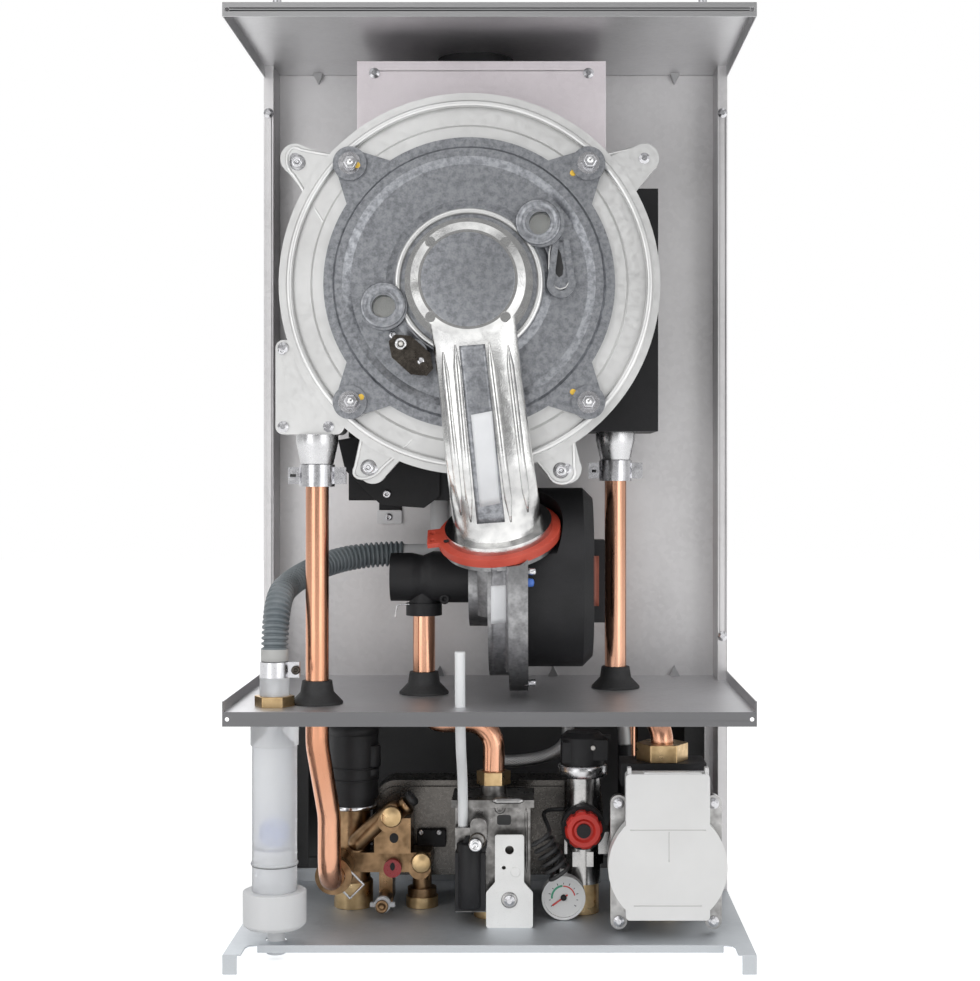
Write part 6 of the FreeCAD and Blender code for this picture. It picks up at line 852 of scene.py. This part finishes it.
# Painted shade in holes: name, pixel, radii in pixels, nodes, material, sides
BLOTS = (
    ("gasket_hole_0", (446, 541.5), (2.6, 1.5), ("duct_gasket",), BLACK_RUBBER, 10),
    ("gasket_hole_1", (456, 547.5), (2.6, 1.5), ("duct_gasket",), BLACK_RUBBER, 10),
    ("brass_hole", (394, 838), (4.5, 5), BRASS_GROUP, BLACK_PLASTIC, 20),
    ("cap_centre", (392.5, 866.5), (2.6, 4.2), ("red_cap",), BLACK_PLASTIC, 8),
)
for row in BLOTS:
    blot(*row)

# Ribs: name, ends in pixels, nodes, radius, material
DUCT_RIBS = (((443, 352), (461, 515)), ((455, 345), (471, 522)), ((489, 342), (511, 522)), ((508, 345), (528, 512)))
BEADS = (
    *((f"duct_rib_{number}", line, DUCT, 3.2, DUCT_ALUMINIUM) for number, line in enumerate(DUCT_RIBS)),
    # The valve's rounded top lip is in a lighter aluminium than the valve: painted highlight.
    ("valve_lip", ((492, 801), (524, 801)), ("gas_valve",), 2.6, PUMP_ALUMINIUM),
    ("valve_edge", ((526, 806), (526.5, 872)), ("gas_valve",), 1.3, VALVE_ALUMINIUM),
)
for row in BEADS:
    bead(*row)

# Bent rods and wires
HOOK = ((412, 604), (397, 605), (395, 617))
ARM = ((357, 842), (374, 826), (393, 809))
CLIP_PLACE = Vector((-108, -58, 42))
CLIP_CORNERS = ((-11, 0), (0, 11), (11, 0), (0, -11), (-11, 0))
CLIP_LIFT = 1.2
wire("loop_rim", [at_depth(pixel, DEPTHS["loop"]) for pixel in LOOP], 0.9, RING_ALUMINIUM)
wire("branch_hook", [at_depth(pixel, DEPTHS["hook"]) for pixel in HOOK], 0.6, STEEL)
wire("brass_arm", [at_depth(pixel, DEPTHS["arm"]) for pixel in ARM], 7.6, BRASS)
clip_middle = tree_on("diverter_body").find_nearest(CLIP_PLACE * MM)[0]
wire("spring_clip", [clip_middle + Vector((x, -CLIP_LIFT, z)) * MM for x, z in CLIP_CORNERS], 0.9, STEEL)


# Gauge dial: coloured arcs and ticks
def dial_arc(name, start, end, inner, outer, material, steps=20, thick=0.12):
    """Printed arc on the dial between two angles in degrees, counter-clockwise from the right."""
    turns = [math.radians(start + (end - start) * step / steps) for step in range(steps + 1)]
    edge = [(outer, turn) for turn in turns] + [(inner, turn) for turn in reversed(turns)]
    rings = [[(DIAL + Vector((r * math.cos(a), depth, r * math.sin(a)))) * MM for r, a in edge]
             for depth in (0.0, -thick)]
    keep(name, skinned(name, rings, smooth=False), material)


dial_arc("dial_green", 185, 95, 8.6, 10.2, GREEN_PRINT)
dial_arc("dial_red", 92, 10, 8.6, 9.6, RED_PLASTIC)
TICKS, TICK_START, TICK_SWEEP, TICK_HALF = 11, 215, 250, 1.4
TICK_INNER, TICK_ENDS = 10.6, (12.4, 11.8)
for number in range(TICKS):
    turn = TICK_START - TICK_SWEEP * number / (TICKS - 1)
    dial_arc(f"dial_tick_{number}", turn - TICK_HALF, turn + TICK_HALF, TICK_INNER, TICK_ENDS[number % 2],
             BLACK_PLASTIC, steps=2)

# Floor, in metres: matt in the light, and lifted to near white where it is seen directly or mirrored
REACH, FLOOR_Z = 6.0, -0.0005
FLOOR_TONE = 0.8
FLOOR_GLOW = 0.66
floor_mesh = bpy.data.meshes.new("floor")
floor_corners = [(x * REACH, y * REACH, FLOOR_Z) for x, y in ((-1, -1), (1, -1), (1, 1), (-1, 1))]
floor_mesh.from_pydata(floor_corners, [], [(0, 1, 2, 3)])
floor = bpy.data.objects.new("floor", floor_mesh)
bpy.context.collection.objects.link(floor)
floor_material = bpy.data.materials.new("pale_floor")
floor_material.use_nodes = True
tree = floor_material.node_tree
tree.nodes.clear()
rays = add(tree, "ShaderNodeLightPath").outputs
seen = combined(tree, "MAXIMUM", rays["Is Camera Ray"], rays["Is Glossy Ray"])
seen = combined(tree, "MAXIMUM", seen, rays["Is Transmission Ray"])
matt = add(tree, "ShaderNodeBsdfDiffuse", {"Color": (FLOOR_TONE, FLOOR_TONE, FLOOR_TONE, 1)})
glow = add(tree, "ShaderNodeEmission", {"Strength": combined(tree, "MULTIPLY", seen, FLOOR_GLOW)})
both = add(tree, "ShaderNodeAddShader", {0: matt.outputs[0], 1: glow.outputs[0]})
add(tree, "ShaderNodeOutputMaterial", {"Surface": both.outputs[0]})
floor_mesh.materials.append(floor_material)

# Room: white where it is seen, even for soft light, and in mirrors dim on the camera side and white behind
ROOM_LIGHT = 0.5
MIRROR_TONES, MIRROR_SPAN = (0.34, 1.0), (-0.5, 0.9)
world = bpy.data.worlds.new("studio")
bpy.context.scene.world = world
world.use_nodes = True
tree = world.node_tree
tree.nodes.clear()
mirrored = ranged(tree, along_y(tree, "Generated"), *MIRROR_TONES, *MIRROR_SPAN)
rays = add(tree, "ShaderNodeLightPath").outputs
seen = combined(tree, "MAXIMUM", rays["Is Camera Ray"], rays["Is Transmission Ray"])
mirrored = blended(tree, rays["Is Glossy Ray"], ROOM_LIGHT, mirrored, "FLOAT")
strength = blended(tree, seen, mirrored, 1.0, "FLOAT")
room = add(tree, "ShaderNodeBackground", {"Color": (1, 1, 1, 1), "Strength": strength})
add(tree, "ShaderNodeOutputWorld", {"Surface": room.outputs[0]})

# Soft lamps, in metres and watts: name, place, target, width, power
LAMPS = (
    ("key", (-1.35, -1.8, 1.6), (0, 0, 0.42), 2.0, 13.0), ("fill", (1.7, -1.4, 0.9), (0, 0, 0.38), 1.9, 7.2),
    ("front", (0.0, -2.5, 2.3), (0, 0, 0.35), 1.5, 8.0), ("low_left", (-1.25, -1.9, 0.42), (0, 0, 0.12), 1.1, 6.5),
    ("low_right", (1.3, -1.8, 0.38), (0, 0, 0.12), 1.1, 5.5), ("top", (0.1, -0.6, 2.2), (0, 0, 0.4), 1.6, 6.0),
    ("rear", (-0.6, 2.2, 1.4), (0, 0, 0.4), 1.6, 9.0),
)
for name, at, target, width, power in LAMPS:
    lamp_data = bpy.data.lights.new(name, "AREA")
    lamp_data.size = width
    lamp_data.energy = power
    lamp = bpy.data.objects.new(name, lamp_data)
    lamp.location = at
    lamp.rotation_euler = (Vector(target) - Vector(at)).to_track_quat("-Z", "Y").to_euler()
    bpy.context.collection.objects.link(lamp)

bpy.context.scene.view_settings.view_transform = "Standard"
